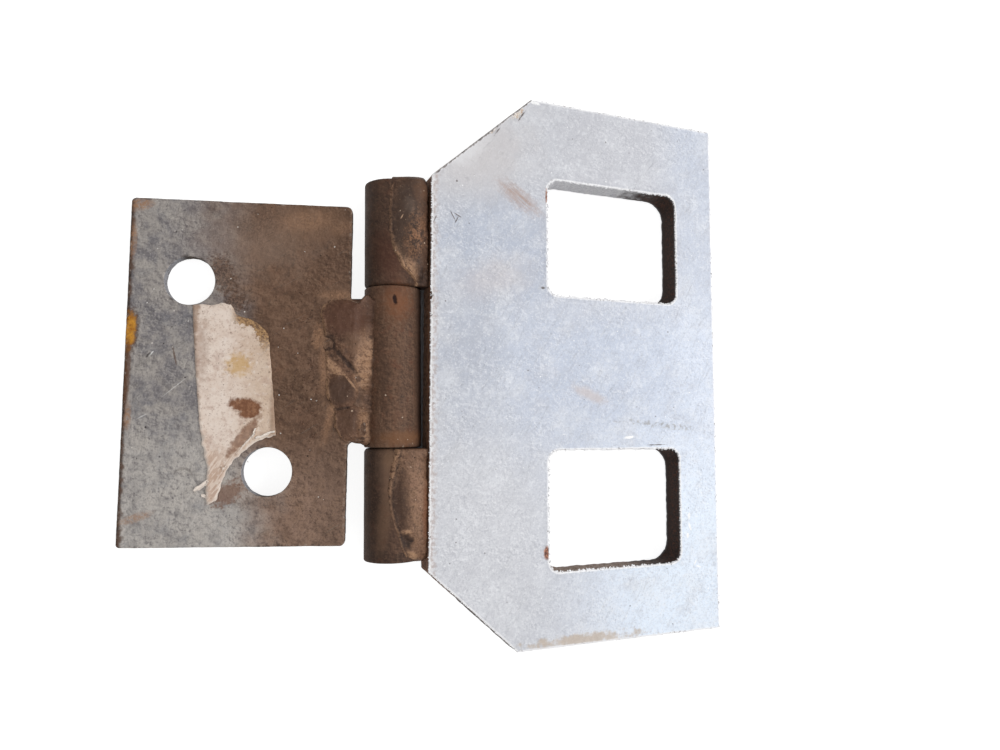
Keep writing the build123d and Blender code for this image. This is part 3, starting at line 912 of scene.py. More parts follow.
def barrel_finish():
    """Dark brown oxide on the knuckles, paler where it is rubbed, with one rust pit, and painted light
    and shade on their curves.
    """
    f = Finish("barrel_oxide", pin_frame)
    middle = f.times(f.step(f.y, -23.4, -23.2), f.step(f.y, 21.6, 21.4))
    streaky = f.cloud(1.0, 3.0, 0.6, 2.0, f.stretched(90, (9.0, 1.1, 1.1)))
    pit = f.patch((-0.7, 17.5), (0.6, 1.3), 12, 0.8)
    glints = f.either(
        f.times(f.specks(1.4, 0.3, 1.0, 0.1, 0.26), f.patch((2.4, -17.0), (3.0, 6.0), 0, 0.4, 2.5)),
        f.specks(1.9, 0.08, 2.0, 0.06, 0.18),
    )
    oxide = f.mix(f.step(f.cloud(7.0, 5.0, 0.6, 1.0), 0.35, 0.68), tone(68, 49, 39), tone(92, 67, 53))
    oxide = f.layered(
        oxide,
        (middle, 0.6, tone(114, 84, 65)),
        (f.step(f.x, -1.0, 5.0), 0.4, tone(62, 45, 36)),
        (f.step(streaky, 0.5, 0.75), 0.45, tone(124, 98, 80)),
        (f.blotches(2.5, 0.02, 0.2), 0.5, tone(102, 62, 44)),
        (f.blotches(2.5, -0.02, -0.2), 0.4, tone(64, 47, 38)),
        (f.step(f.cloud(5.0, 5.0, 0.62, 4.0), 0.5, 0.66), 0.4, tone(118, 88, 70)),
        (f.blotches(1.2, 0.02, 0.22), 0.3, tone(132, 98, 76)),
        (f.blotches(1.2, -0.02, -0.22), 0.34, tone(50, 36, 29)),
        (f.blotches(0.5, 0.04, 0.22), 0.35, tone(150, 118, 96)),
        (f.blotches(0.5, -0.06, -0.22), 0.3, tone(42, 30, 25)),
        # Painted highlight and painted shade of the fine relief, lit from the upper right.
        (f.step(f.relief(1.2), 0.03, 0.12), 0.22, tone(140, 108, 86)),
        (f.step(f.relief(1.2), -0.03, -0.12), 0.26, tone(48, 34, 28)),
        (f.rest(middle), 0.22, tone(56, 40, 32)),
        # Painted shade on the middle knuckle's left-facing curve.
        (f.patch((-3.6, -3.0), (1.6, 12.0), 3, 1.8), 0.3, tone(66, 47, 37)),
        (f.patch((-2.9, -30.0), (2.0, 6.0), 6, 1.0, 1.2, 0.8), 0.55, tone(134, 104, 84)),
        # Painted shade on the knuckles' left flanks, turned from the lamp.
        (f.times(f.step(f.x, 0.5, -7.5), f.rest(f.times(middle, 0.8))), 0.35, tone(52, 40, 33)),
        # Painted shade where the knuckles curve away beside the plate's edge.
        (f.step(f.plus(f.x, f.times(f.wobble(1.2), 3.0)), 4.6, 7.0), 0.75, tone(44, 31, 25)),
        (f.patch((0.2, 17.0), (3.4, 4.4), 0, 1.1, 1.2, 0.8), 0.7, tone(128, 82, 54)),
        (f.patch((1.5, -20.8), (6.0, 1.8), 0, 0.9, 1.2, 0.6), 0.6, tone(126, 86, 56)),
        (f.patch((-2.2, 29.0), (3.4, 7.0), 14, 0.9, 2.5, 0.6), 0.5, tone(88, 52, 38)),
        (f.patch((-3.4, -42.0), (1.6, 9.0), -6, 0.9, 1.2, 0.6), 0.45, tone(120, 92, 72)),
        (f.patch((-2.0, -27.0), (1.6, 3.0), 0, 0.9, 1.2, 0.6), 0.4, tone(128, 98, 74)),
        (pit, 1.0, tone(40, 18, 12)),
        (glints, 0.85, tone(200, 180, 160)),
    )
    height = f.plus(f.bumps((2.5, 0.8), (1.2, 0.8), (0.5, 0.45)), f.times(pit, -1.5))
    roughness = f.plus(0.52, f.times(f.cloud(3.0, 4.0, 0.6, 8.0), 0.3))
    return f.finish(oxide, roughness, 0.06, height, 0.8, 0.14)


def weld_metal(f, layers):
    """Weld metal: brown oxide with dust on its ridges, soot and painted shade in its valleys, and layers
    of its own.

    Each of the layers is a colour, or "tan" or "dark" for one of the two mottled ones, with its
    strength and its mask.
    """
    dust, soot_and_shade = f.mark("dust"), f.mark("soot_and_shade")
    pits = f.specks(1.5, 0.16, 5.0, 0.06, 0.2)
    glints = f.specks(1.4, 0.14, 3.0, 0.06, 0.22)
    grain = f.step(f.plus(f.wobble(1.2), f.wobble(0.5)), -0.22, 0.12)
    named = {
        "tan": f.mix(grain, tone(122, 92, 72), tone(176, 138, 108)),
        "dark": f.mottled(1.2, -0.2, 0.2, tone(48, 34, 28), tone(72, 53, 43)),
    }
    metal = f.mix(f.step(f.cloud(3.6, 5.0, 0.65, 1.0), 0.34, 0.68), tone(82, 58, 44), tone(108, 78, 60))
    metal = f.layered(
        metal,
        (f.blotches(1.2, 0.02, 0.22), 0.4, tone(138, 106, 84)),
        (f.blotches(1.2, -0.04, -0.24), 0.5, tone(56, 40, 32)),
        # Painted highlight and painted shade of the fine relief, lit from the upper right.
        (f.step(f.relief(1.2), 0.02, 0.1), 0.3, tone(146, 114, 92)),
        (f.step(f.relief(1.2), -0.02, -0.1), 0.4, tone(48, 34, 28)),
    )
    for colour, strength, mask in layers:
        metal = f.mix(f.times(mask, strength), metal, named.get(colour, colour))
    metal = f.layered(
        metal,
        (f.times(dust, f.step(f.plus(f.wobble(1.2), f.wobble(0.5)), -0.26, 0.02)), 0.85, named["tan"]),
        # Soot and painted shade in the bead's valleys.
        (soot_and_shade, 0.9, named["dark"]),
        (f.blotches(0.5, 0.08, 0.24), 0.3, tone(176, 144, 118)),
        (f.blotches(0.5, -0.08, -0.24), 0.4, tone(46, 33, 27)),
        (pits, 0.8, tone(36, 25, 20)),
        (glints, 0.8, tone(204, 178, 154)),
    )
    height = f.plus(f.bumps((2.5, 0.8), (1.2, 0.9), (0.5, 0.5)), f.times(pits, -1.0))
    roughness = f.plus(0.58, f.times(f.wobble(2.5), 0.4), f.times(dust, 0.14))
    return f.finish(metal, roughness, 0.05, height, 0.8, 0.14)


def plate_weld_finish():
    """The knuckles' welds: a dark dish along each, partly painted shade, a painted highlight on the
    upper one, rust beside it and a dusty tail.
    """
    f = Finish("plate_weld_metal", pin_frame)
    drawn = f.cloud(1.0, 4.0, 0.65, 4.0, f.stretched(14, (1.1, 2.4, 2.4)))
    vertical = f.step(f.plus(drawn, f.wobble(1.2), f.wobble(0.5)), 0.3, 0.72)
    mottled = f.step(f.plus(f.wobble(2.5), f.wobble(0.5)), -0.2, 0.16)
    upper_rust = f.times(f.patch((5.6, 36.0), (2.8, 6.6), -8, 1.0, 1.2, 0.8), vertical)
    lower_rust = f.times(f.patch((5.2, -36.0), (3.0, 10.5), 0, 0.9, 1.2, 0.7), mottled)
    return weld_metal(f, [
        (tone(64, 46, 37), 0.65, f.times(f.step(f.x, -1.0, 5.0), f.step(f.y, 0.0, 2.0))),
        (tone(118, 84, 62), 0.6, f.patch((6.4, 49.0), (2.2, 3.4), 0, 0.6, 1.2, 0.5)),
        # Dark dish of the upper bead, partly painted shade of its left-facing slope.
        (tone(64, 48, 39), 0.85, f.patch((2.4, 39.5), (4.6, 12.5), -2, 0.6, 2.5, 0.5)),
        # Painted highlight on the upper bead's dish.
        (tone(104, 88, 78), 0.45, f.patch((3.6, 44.5), (1.6, 2.0), 0, 0.8, 1.2, 0.6)),
        ("dark", 0.9, f.patch((9.4, 52.4), (1.2, 0.9), 0, 0.4)),
        (tone(156, 112, 82), 0.8, upper_rust),
        ("tan", 0.9, f.patch((2.4, 25.6), (3.2, 3.4), 0, 0.6)),
        # Painted shade in the deep slot between the bead's tail and the plate.
        ("dark", 0.95, f.patch((7.1, 24.8), (0.6, 2.5), 0, 0.4, 1.2, 0.3)),
        (tone(196, 160, 132), 0.8, f.patch((1.25, 41.0), (0.7, 0.14), 62, 0.3)),
        ("tan", 0.45, f.patch((4.9, -38.0), (3.6, 12.5), 0, 0.9, 1.2, 0.7)),
        (tone(150, 116, 96), 0.5, lower_rust),
        (tone(122, 78, 54), 0.6, f.patch((8.2, -41.0), (1.0, 8.0), 0, 0.7, 1.2, 0.5)),
        # Dark dish of the lower bead, partly painted shade of its left-facing slope.
        (tone(68, 48, 38), 0.85, f.patch((0.3, -38.6), (3.0, 10.2), 5, 0.5, 1.2, 0.7)),
        ("tan", 0.8, f.patch((2.5, -46.2), (1.6, 0.6), 0, 0.4)),
        ("dark", 0.95, f.patch((2.0, -48.9), (2.5, 1.9), 0, 0.4, 1.2, 0.3)),
        ("tan", 0.9, f.patch((3.0, -53.0), (2.8, 1.4), 0, 0.5)),
    ])


def leaf_weld_finish():
    """The leaf's weld: dark smooth puddles with tan rims and a dusty flank by the barrel."""
    f = Finish("leaf_weld_metal", leaf_place)
    uneven_x = f.plus(f.x, f.times(f.wobble(2.5), 5.0), f.times(f.wobble(1.2), 3.0))
    return weld_metal(f, [
        (tone(92, 66, 51), 0.8, f.patch((-12.0, -16.6), (3.8, 4.0), 0, 0.5, 2.5)),
        ("tan", 0.7, f.patch((-7.0, -17.5), (1.6, 4.4), 10, 0.9, 1.2, 0.5)),
        (tone(90, 60, 46), 0.85, f.patch((-12.6, 11.8), (6.4, 5.2), 0, 0.35, 2.5)),
        ("tan", 0.8, f.patch((-7.4, 0.6), (2.5, 8.6), -7, 0.8, 1.2, 0.35)),
        ("tan", 0.85, f.patch((-15.8, -1.5), (3.8, 1.2), -42, 0.8)),
        ("dark", 0.9, f.patch((-17.0, 5.1), (1.7, 2.4), 0, 0.4, 1.2, 0.3)),
        (tone(78, 56, 44), 0.9, f.patch((-13.6, -8.0), (3.7, 4.0), 0, 0.3, 2.5, 0.3)),
        ("dark", 0.85, f.patch((-12.8, 0.4), (5.6, 0.55), -46, 0.5)),
        ("tan", 0.9, f.patch((-14.9, -3.3), (2.4, 0.3), -8, 0.6)),
        ("tan", 0.9, f.patch((-11.2, -5.4), (2.8, 0.3), -52, 0.6)),
        ("tan", 0.8, f.patch((-17.5, -7.6), (0.6, 4.2), 4, 0.4)),
        ("dark", 0.8, f.patch((-13.0, -12.8), (2.6, 0.4), 10, 0.4)),
        ("dark", 0.8, f.patch((-5.9, 7.1), (0.6, 0.6), 0, 0.3)),
        ("dark", 0.7, f.patch((-5.0, -0.4), (0.5, 7.2), 0, 1.2, 1.2, 0.5)),
        (tone(88, 63, 49), 0.8, f.step(uneven_x, -6.0, -4.4)),
        (tone(84, 58, 45), 0.6, f.times(f.step(f.x, -9.5, -6.5), f.step(f.y, 4.0, 9.5))),
        (tone(128, 98, 78), 0.5, f.patch((-9.4, 5.2), (2.6, 3.0), 30, 1.0, 1.2, 0.5)),
        ("dark", 0.9, f.patch((-7.6, -20.9), (0.5, 0.4), 0, 0.3)),
    ])


def pin_finish():
    """Turned steel of the pin's ends, dull and lightly rusted, with faint rings."""
    f = Finish("pin_steel", pin_frame)
    radius = f.worked("SQRT", f.plus(f.times(f.x, f.x), f.times(f.z, f.z)))
    rings = f.worked("SINE", f.times(radius, 26.0))
    steel = f.mix(f.step(f.cloud(2.5, 5.0, 0.65, 1.0), 0.35, 0.65), tone(84, 68, 58), tone(122, 108, 98))
    steel = f.mix(f.times(f.step(f.cloud(1.4, 5.0, 0.7, 2.0), 0.55, 0.7), 0.7), steel, tone(110, 66, 40))
    height = f.plus(f.times(rings, 0.1), f.times(f.wobble(0.5), 0.5))
    return f.finish(steel, f.plus(0.45, f.times(f.wobble(1.2), 0.4)), 0.5, height, 0.4, 0.06)


def paper_finish():
    """Torn blank paper: dusty beige, speckled, with a yellow and two brown stains."""
    f = Finish("torn_label", leaf_place)
    broad = f.step(f.cloud(8.0, 4.0, 0.6, 1.0), 0.35, 0.65)
    paper = f.mix(broad, tone(236, 220, 207), tone(214, 191, 174))
    stain_tone = f.mottled(1.2, -0.1, 0.25, tone(116, 72, 46), tone(158, 112, 80))
    stains = f.either(
        f.patch((-38.6, -12.4), (4.4, 1.9), -8, 0.5, 1.2, 0.25),
        f.patch((-37.4, -14.2), (2.8, 1.5), 10, 0.5, 1.2, 0.25),
        f.times(f.patch((-38.8, -20.6), (1.5, 6.4), -38, 0.6, 1.2, 0.3), 0.75),
    )
    edge = f.either(
        f.step(f.plus(f.x, f.times(f.y, -0.09), f.times(f.wobble(1.2), 1.6)), -52.0, -53.2),
        f.step(f.plus(f.x, f.times(f.wobble(1.2), 1.6)), -32.6, -31.4),
    )
    torn_brown = f.plus(f.mark("edge"), f.times(f.plus(f.wobble(1.2), f.wobble(2.5)), 1.8))
    torn_brown = f.times(f.step(torn_brown, 0.22, 0.5), f.step(f.x, -44.0, -40.5), f.step(f.y, 0.0, 7.0))
    specks = f.either(f.specks(1.5, 0.3, 1.0, 0.08, 0.24), f.specks(0.9, 0.2, 2.0, 0.08, 0.24))
    fibres = f.times(f.hairlines(58, 0.5, 3.0, 0.52, 0.62), f.step(f.y, -21.0, -27.0))
    paper = f.layered(
        paper,
        (f.step(f.x, -44.0, -33.0), 0.6, tone(206, 180, 154)),
        (f.step(f.y, -22.0, -30.0), 0.65, tone(190, 158, 136)),
        (f.blotches(2.5, 0.02, 0.2), 0.5, tone(186, 156, 142)),
        (f.blotches(1.2, 0.04, 0.22), 0.6, tone(238, 226, 216)),
        (f.blotches(1.2, -0.02, -0.2), 0.3, tone(186, 158, 140)),
        (f.blotches(0.5, -0.04, -0.2), 0.55, tone(156, 126, 108)),
        (f.patch((-40.6, -1.4), (2.9, 2.7), 10, 1.1, 1.2, 0.6), 0.75, tone(204, 164, 104)),
        (f.patch((-50.6, 2.0), (2.0, 9.0), 0, 1.2, 1.2, 0.6), 0.35, tone(150, 124, 110)),
        (torn_brown, 0.9, f.mottled(0.5, -0.1, 0.12, tone(104, 72, 44), tone(176, 136, 88))),
        (fibres, 0.6, tone(238, 222, 208)),
        (edge, 0.6, tone(140, 108, 86)),
        (stains, 0.95, stain_tone),
        (specks, 0.6, tone(126, 100, 84)),
        (f.mark("fresh"), 0.85, tone(240, 230, 220)),
    )
    return f.finish(paper, 0.85, 0.0, f.bumps((1.2, 0.8), (0.5, 0.4)), 0.6, 0.1)


zinc_plating = plated_finish()
leaf_scale = leaf_finish()
barrel_oxide = barrel_finish()
plate_weld_metal = plate_weld_finish()
leaf_weld_metal = leaf_weld_finish()
pin_steel = pin_finish()
torn_label = paper_finish()


# Window plate


def round_far_corner(x, y):
    """How far the back rim of a window stands out into its corner here, for its wider rounding."""
    far_round = 6.3
    centre = min(window_centres, key=lambda middle: abs(y - middle))
    middle_x = (window_low_x + window_high_x) / 2
    aside = abs(x - middle_x) - ((window_high_x - window_low_x) / 2 - far_round)
    along = abs(y - centre) - (window_height / 2 - far_round)
    if aside <= 0 or along <= 0:
        return 0.0
    near, far = min(aside, along), max(aside, along)
    if near > 0.3 * far_round:
        return max(0.0, hypot(aside, along) - far_round)
    return far - sqrt(far_round ** 2 - near ** 2)


def make_window_plate():
    """Thick plate with ragged, rounded rims, two windows and small nicks in its face."""
    nicks = scattered_nicks(11, 55, (10, -80), (105, 80), [
        (14.2, 10.6, 1.3, 0.5, 1.2, 0.16),
        (24.9, 4.6, 0.9, 0.5, 1.1, 0.16),
        (20.0, -0.6, 1.0, 0.35, 1.1, 0.12),
        (30.6, 15.4, 0.8, 0.3, 1.2, 0.1),
        (40.2, 10.0, 0.7, 0.4, 2.2, 0.14),
        (26.2, 19.6, 1.0, 0.4, 1.0, 0.12),
        (43.8, 24.1, 0.6, 0.5, 0.4, 0.16),
        (15.6, -9.3, 1.0, 0.4, 0.6, 0.12),
        (12.1, -61.2, 0.8, 0.6, 0.0, 0.16),
        (16.0, 43.0, 1.1, 0.35, 1.9, 0.14),
        (16.8, 42.2, 1.0, 0.3, 0.4, 0.12),
        (35.6, 76.8, 2.0, 1.1, 0.9, 0.3),
        (27.8, 70.4, 1.6, 0.9, 0.9, 0.26),
    ])
    surface = Surface(0.05, nicks, 1.0)

    def wear(number, x, y, at_back):
        salt = 20.0 * number + (9.0 if at_back else 0.0)
        coarse = rough((x, y, 0), 5.0, salt + 2)
        fine = rough((x, y, 0), 1.1, salt + 4)
        rounding = 0.34 + 0.16 * coarse + 0.1 * fine
        ragged = 1.0 if number else 0.45
        lip = (0.1 + 0.2 * max(0.0, fine + 0.4 * coarse)) * ragged
        wobble = 0.06 * coarse + 0.16 * ragged * max(0.0, rough((x, y, 0), 0.9, salt + 6)) + 0.05
        if number == 0 and x < 10:
            wobble += 0.2 * abs(rough((x, y, 0), 2.4, salt + 7))
            wobble += 0.5 * hump(y - 19.4, 1.3) * (0.0 if at_back else 1.0)
        return max(rounding, 0.12), lip, wobble

    def wall(number, x, y, share):
        drag = 0.1 * rough((x, y, share * 1.5), 0.9, 31.0 + number)
        tear = 0.12 * ease(share, 0.45, 0.9) * rough((x, y, share * 8), 1.6, 37.0 + number)
        corner = round_far_corner(x, y) * share if number else 0.0
        return drag * 0.5 + tear + 0.05 - corner

    outlines = [rounded_outline(plate_corners, rim_step)]
    outlines += [window_outline(centre, rim_step) for centre in window_centres]
    vertices, faces, marks = cut_plate(outlines, plate_top, plate_thickness, 1.7, surface, wear, wall)
    name = "window_plate_worn"
    mesh = new_mesh(name, vertices, faces, plate_place, marks, WALL_MARKS)
    add_piece(name, mesh, zinc_plating, "plate_side", "plated_steel", "window_plate")


make_window_plate()


# Bolt leaf


def make_bolt_leaf():
    """Thin leaf with two punched bolt holes, notches beside the tab and worn edges."""
    nicks = scattered_nicks(23, 50, (-69, -48), (-13, 42), [
        (-64.7, 3.7, 1.2, 0.5, 0.9, 0.16),
        (-62.0, -15.0, 2.4, 1.6, 0.5, 0.08),
        (-53.0, 38.0, 0.7, 0.5, 0.0, 0.1),
        (-27.8, 32.9, 0.5, 0.4, 0.0, -0.12),
        (-22.0, 31.0, 1.0, 0.3, 0.2, 0.1),
        (-31.3, -5.9, 0.4, 0.4, 0.0, -0.14),
        (-23.7, -6.1, 0.4, 0.4, 0.0, -0.14),
    ])

    def tab_fall(x, y):
        return 1.15 * max(0.0, x + 9.0) if tab_low < y < tab_high else 0.0

    surface = Surface(0.06, nicks, 5.0, tab_fall)

    def wear(number, x, y, at_back):
        salt = 50.0 + 20.0 * number + (9.0 if at_back else 0.0)
        coarse = rough((x, y, 0), 6.0, salt + 2)
        fine = rough((x, y, 0), 1.2, salt + 4)
        outer_edge = 0.3 if x < -69 else 0.0
        rounding = 0.38 + 0.14 * coarse + 0.08 * fine + outer_edge
        lip = 0.05 + 0.07 * max(0.0, fine)
        if number:
            rounding, lip = 0.24 + 0.05 * fine, 0.0
        return max(rounding, 0.14), lip, 0.05 + 0.05 * coarse + 0.05 * max(0.0, fine)

    def wall(number, x, y, share):
        tear = 0.08 * ease(share, 0.3, 0.8) * rough((x, y, share * 4), 1.2, 61.0 + number)
        return tear + 0.04 * rough((x, y, share), 0.8, 67.0)

    outlines = [rounded_outline(leaf_corners, rim_step)]
    outlines += [round_hole(centre, bolt_hole_radius, hole_step) for centre in bolt_holes]
    vertices, faces, marks = cut_plate(outlines, leaf_top, leaf_thickness, 1.5, surface, wear, wall)
    name = "bolt_leaf_worn"
    mesh = new_mesh(name, vertices, faces, leaf_place, marks, WALL_MARKS)
    add_piece(name, mesh, leaf_scale, "leaf_side", "leaf_steel", "bolt_leaf")


make_bolt_leaf()


# Barrel


def node_tree(name, inputs):
    """An empty Geometry Nodes tree with these named inputs, and a helper that adds its nodes."""
    group = bpy.data.node_groups.new(name, "GeometryNodeTree")
    group.interface.new_socket("Geometry", in_out="INPUT", socket_type="NodeSocketGeometry")
    group.interface.new_socket("Geometry", in_out="OUTPUT", socket_type="NodeSocketGeometry")
    for label, kind in inputs:
        group.interface.new_socket(label, in_out="INPUT", socket_type=kind)
    group_input = group.nodes.new("NodeGroupInput")

    def add(kind, feeds=(), **settings):
        made = group.nodes.new(kind)
        for key, value in settings.items():
            setattr(made, key, value)
        for socket, value in feeds:
            target = made.inputs[socket]
            if isinstance(value, str):
                value = group_input.outputs[value]
            if isinstance(value, bpy.types.NodeSocket):
                group.links.new(value, target)
            else:
                target.default_value = value
        return made

    return group, add


def close_tree(add, geometry):
    """Ends a tree: real geometry, its material, and the group's output."""
    real = add("GeometryNodeRealizeInstances", [(0, geometry)])
    painted = add("GeometryNodeSetMaterial", [(0, real.outputs[0]), ("Material", "Finish")])
    add("NodeGroupOutput", [(0, painted.outputs[0])])


def grown(name, base, group, values):
    """The plain mesh that a tree grows from a base mesh with these input values."""
    seat = bpy.data.objects.new(name + "_seat", base)
    bpy.context.scene.collection.objects.link(seat)
    modifier = seat.modifiers.new(name, "NODES")
    modifier.node_group = group
    for item in group.interface.items_tree:
        if item.in_out == "INPUT" and item.name in values:
            modifier[item.identifier] = values[item.name]
    graph = bpy.context.evaluated_depsgraph_get()
    mesh = bpy.data.meshes.new_from_object(seat.evaluated_get(graph))
    seat.modifiers.clear()
    bpy.data.objects.remove(seat)
    return mesh


def knuckle_tree():
    """Revolves a rounded wall section about the pin, and roughens it a little."""
    sizes = ["Outer Radius", "Bore Radius", "Length", "Unevenness"]
    sizes += ["Low Round", "High Round", "Bore Round"]
    group, add = node_tree("turned_knuckle", [(size, "NodeSocketFloat") for size in sizes] + [
        ("Shift", "NodeSocketVector"),
        ("Finish", "NodeSocketMaterial"),
    ])

    def worked(operation, first, second):
        return add("ShaderNodeMath", [(0, first), (1, second)], operation=operation).outputs[0]

    def positive(value):
        feeds = [("A", value), ("B", 0.0)]
        return add("FunctionNodeCompare", feeds, operation="GREATER_THAN").outputs[0]

    def chosen(choice, if_not, if_so):
        feeds = [(0, choice), (1, if_not), (2, if_so)]
        return add("GeometryNodeSwitch", feeds, input_type="FLOAT").outputs[0]

    # The wall's section, drawn about its own middle with x out from the pin and y along it
    wall = worked("SUBTRACT", "Outer Radius", "Bore Radius")
    section = add("GeometryNodeCurvePrimitiveQuadrilateral", [("Width", wall), ("Height", "Length")])
    place = add("GeometryNodeInputPosition")
    split = add("ShaderNodeSeparateXYZ", [(0, place.outputs[0])])
    outer_round = chosen(positive(split.outputs[1]), "Low Round", "High Round")
    rounding = chosen(positive(split.outputs[0]), "Bore Round", outer_round)
    corner = [("Curve", section.outputs[0]), ("Radius", rounding), ("Count", 6), ("Limit Radius", True)]
    rounded = add("GeometryNodeFilletCurve", corner, mode="POLY")
    steps = [("Curve", rounded.outputs[0]), ("Length", 0.34)]
    fine = add("GeometryNodeResampleCurve", steps, mode="LENGTH")

    # The section swept round the pin and laid along it
    middle = worked("MULTIPLY", worked("ADD", "Outer Radius", "Bore Radius"), 0.5)
    ring = add("GeometryNodeCurvePrimitiveCircle", [("Resolution", 120), ("Radius", middle)])
    sweep = [("Curve", ring.outputs[0]), ("Profile Curve", fine.outputs[0])]
    turned = add("GeometryNodeCurveToMesh", sweep)
    laid = add("GeometryNodeTransform", [
        ("Geometry", turned.outputs[0]),
        ("Rotation", (-pi / 2, 0.0, 0.0)),
        ("Translation", "Shift"),
    ])

    # Broad unevenness along the normals
    broad = add("ShaderNodeTexNoise", [("Scale", 0.16), ("Detail", 3.0)])
    amount = worked("MULTIPLY", worked("SUBTRACT", broad.outputs[0], 0.5), "Unevenness")
    normal = add("GeometryNodeInputNormal")
    push = add("ShaderNodeVectorMath", [(0, normal.outputs[0]), (3, amount)], operation="SCALE")
    moved = add("GeometryNodeSetPosition", [("Geometry", laid.outputs[0]), ("Offset", push.outputs[0])])
    close_tree(add, moved.outputs[0])
    return group


turned_knuckle = knuckle_tree()


def make_knuckle(node, body, place, low_round, high_round, clearance=0.0, drawn_out=0.0):
    """One knuckle as long as its node, drawn out at both ends, with the ends rounded as given."""
    low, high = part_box(node)
    length = (high.y - low.y) / MM + 2 * drawn_out
    centre = ((high.y + low.y) / 2 - pin_place.y) / MM
    name = node + "_turned"
    mesh = grown(node, bpy.data.meshes.new(node + "_base"), turned_knuckle, {
        "Outer Radius": bar_radius,
        "Bore Radius": bore_radius + clearance,
        "Length": length,
        "Low Round": low_round,
        "High Round": high_round,
        "Bore Round": bore_round,
        "Unevenness": 0.12,
        "Shift": (0.0, centre, 0.0),
        "Finish": barrel_oxide,
    })
    turn_outward(mesh)
    mesh.transform(place)
    mesh.shade_smooth()
    mesh.name = name
    add_piece(name, mesh, barrel_oxide, body, "barrel_steel", node)


make_knuckle("upper_knuckle", "plate_side", plate_bar_place, seam_round, end_round)
make_knuckle("lower_knuckle", "plate_side", plate_bar_place, end_round, seam_round)
seam_gap = (middle_low.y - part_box("lower_knuckle")[1].y) / MM
make_knuckle("middle_knuckle", "leaf_side", leaf_bar_place, seam_round, seam_round,
             running_clearance, seam_gap - seam_left_open)


def make_pin():
    """Plain pin with chamfered, slightly peened ends."""
    low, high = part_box("hinge_pin")
    start, stop = (low.y - pin_place.y) / MM, (high.y - pin_place.y) / MM
    radius, chamfer, around = bore_radius - 0.02, 0.7, 72
    profile = [(0.9, start + 0.16), (2.2, start + 0.05), (3.2, start), (radius - chamfer, start)]
    profile += [(radius - 0.08, start + chamfer - 0.08), (radius, start + chamfer + 0.1)]
    profile += [(radius, start + 3.0), (radius, 0.0), (radius, stop - 3.0)]
    profile += [(reach, start + stop - along) for reach, along in reversed(profile[:6])]
    vertices, faces = [(0.0, start + 0.18, 0.0)], []
    for reach, along in profile:
        for step in range(around):
            angle = 2 * pi * step / around
            uneven = 1 + 0.006 * rough((cos(angle) * reach, along, sin(angle) * reach), 3.0, 3.0)
            vertices.append((reach * uneven * cos(angle), along, reach * uneven * sin(angle)))
    vertices.append((0.0, stop - 0.18, 0.0))
    last = len(vertices) - 1
    for step in range(around):
        following = (step + 1) % around
        faces.append((0, 1 + step, 1 + following))
        for ring in range(len(profile) - 1):
            near, far = 1 + ring * around, 1 + (ring + 1) * around
            faces.append((near + step, far + step, far + following, near + following))
        faces.append((last, last - around + following, last - around + step))
    mesh = new_mesh("hinge_pin_turned", vertices, faces, plate_bar_place)
    add_piece("hinge_pin_turned", mesh, pin_steel, "plate_side", "pin_steel", "hinge_pin")


make_pin()


# Welds


def polar(radius, angle):
    """Point across the pin at this angle up from the plate's side."""
    return (radius * cos(radians(angle)), radius * sin(radians(angle)))


def dome_end(distance, length):
    """1 in a bead's run and a round fall to 0 at its end."""
    return sqrt(max(0.0, 1 - (1 - min(distance / length, 1.0)) ** 2))


def weld_mesh(name, sections, tints, place):
    """Closed bead through its sections. Each section is a closed row of points (x, y, z)."""
    vertices = [point for section in sections for point in section]
    count = len(sections[0])
    faces = []
    for row in range(len(sections) - 1):
        for column in range(count):
            following = (column + 1) % count
            near, far = row * count, (row + 1) * count
            faces.append((near + column, near + following, far + following, far + column))
    for row in (0, len(sections) - 1):
        centre = [sum(values) / count for values in zip(*sections[row])]
        vertices.append(tuple(centre))
        hub = len(vertices) - 1
        for column in range(count):
            faces.append((hub, row * count + column, row * count + (column + 1) % count))
    tints = [tint for row in tints for tint in row] + [(0.0, 0.0)] * 2
    return new_mesh(name, vertices, faces, place, tints, ("dust", "soot_and_shade"))


def rows_of(start, stop, pitch):
    """Places from start to stop, the end ones closer together, as shares of the way."""
    count = max(8, round(abs(stop - start) / pitch))
    rows = []
    for index in range(count + 1):
        eased = (1 - cos(pi * index / count)) / 2
        rows.append(eased * 0.15 + index / count * 0.85)
    return rows


def with_back(section, row_tints, hidden, along):
    """A bead's row closed round its back by points (x, z) that lie hidden in the steel."""
    closed = section + [(x, along, z) for x, z in hidden]
    return closed, row_tints + [(0.0, 0.0)] * len(hidden)


# The beads' hidden faces lie in the plate this far out from the pin
in_plate = plate_edge + 0.25


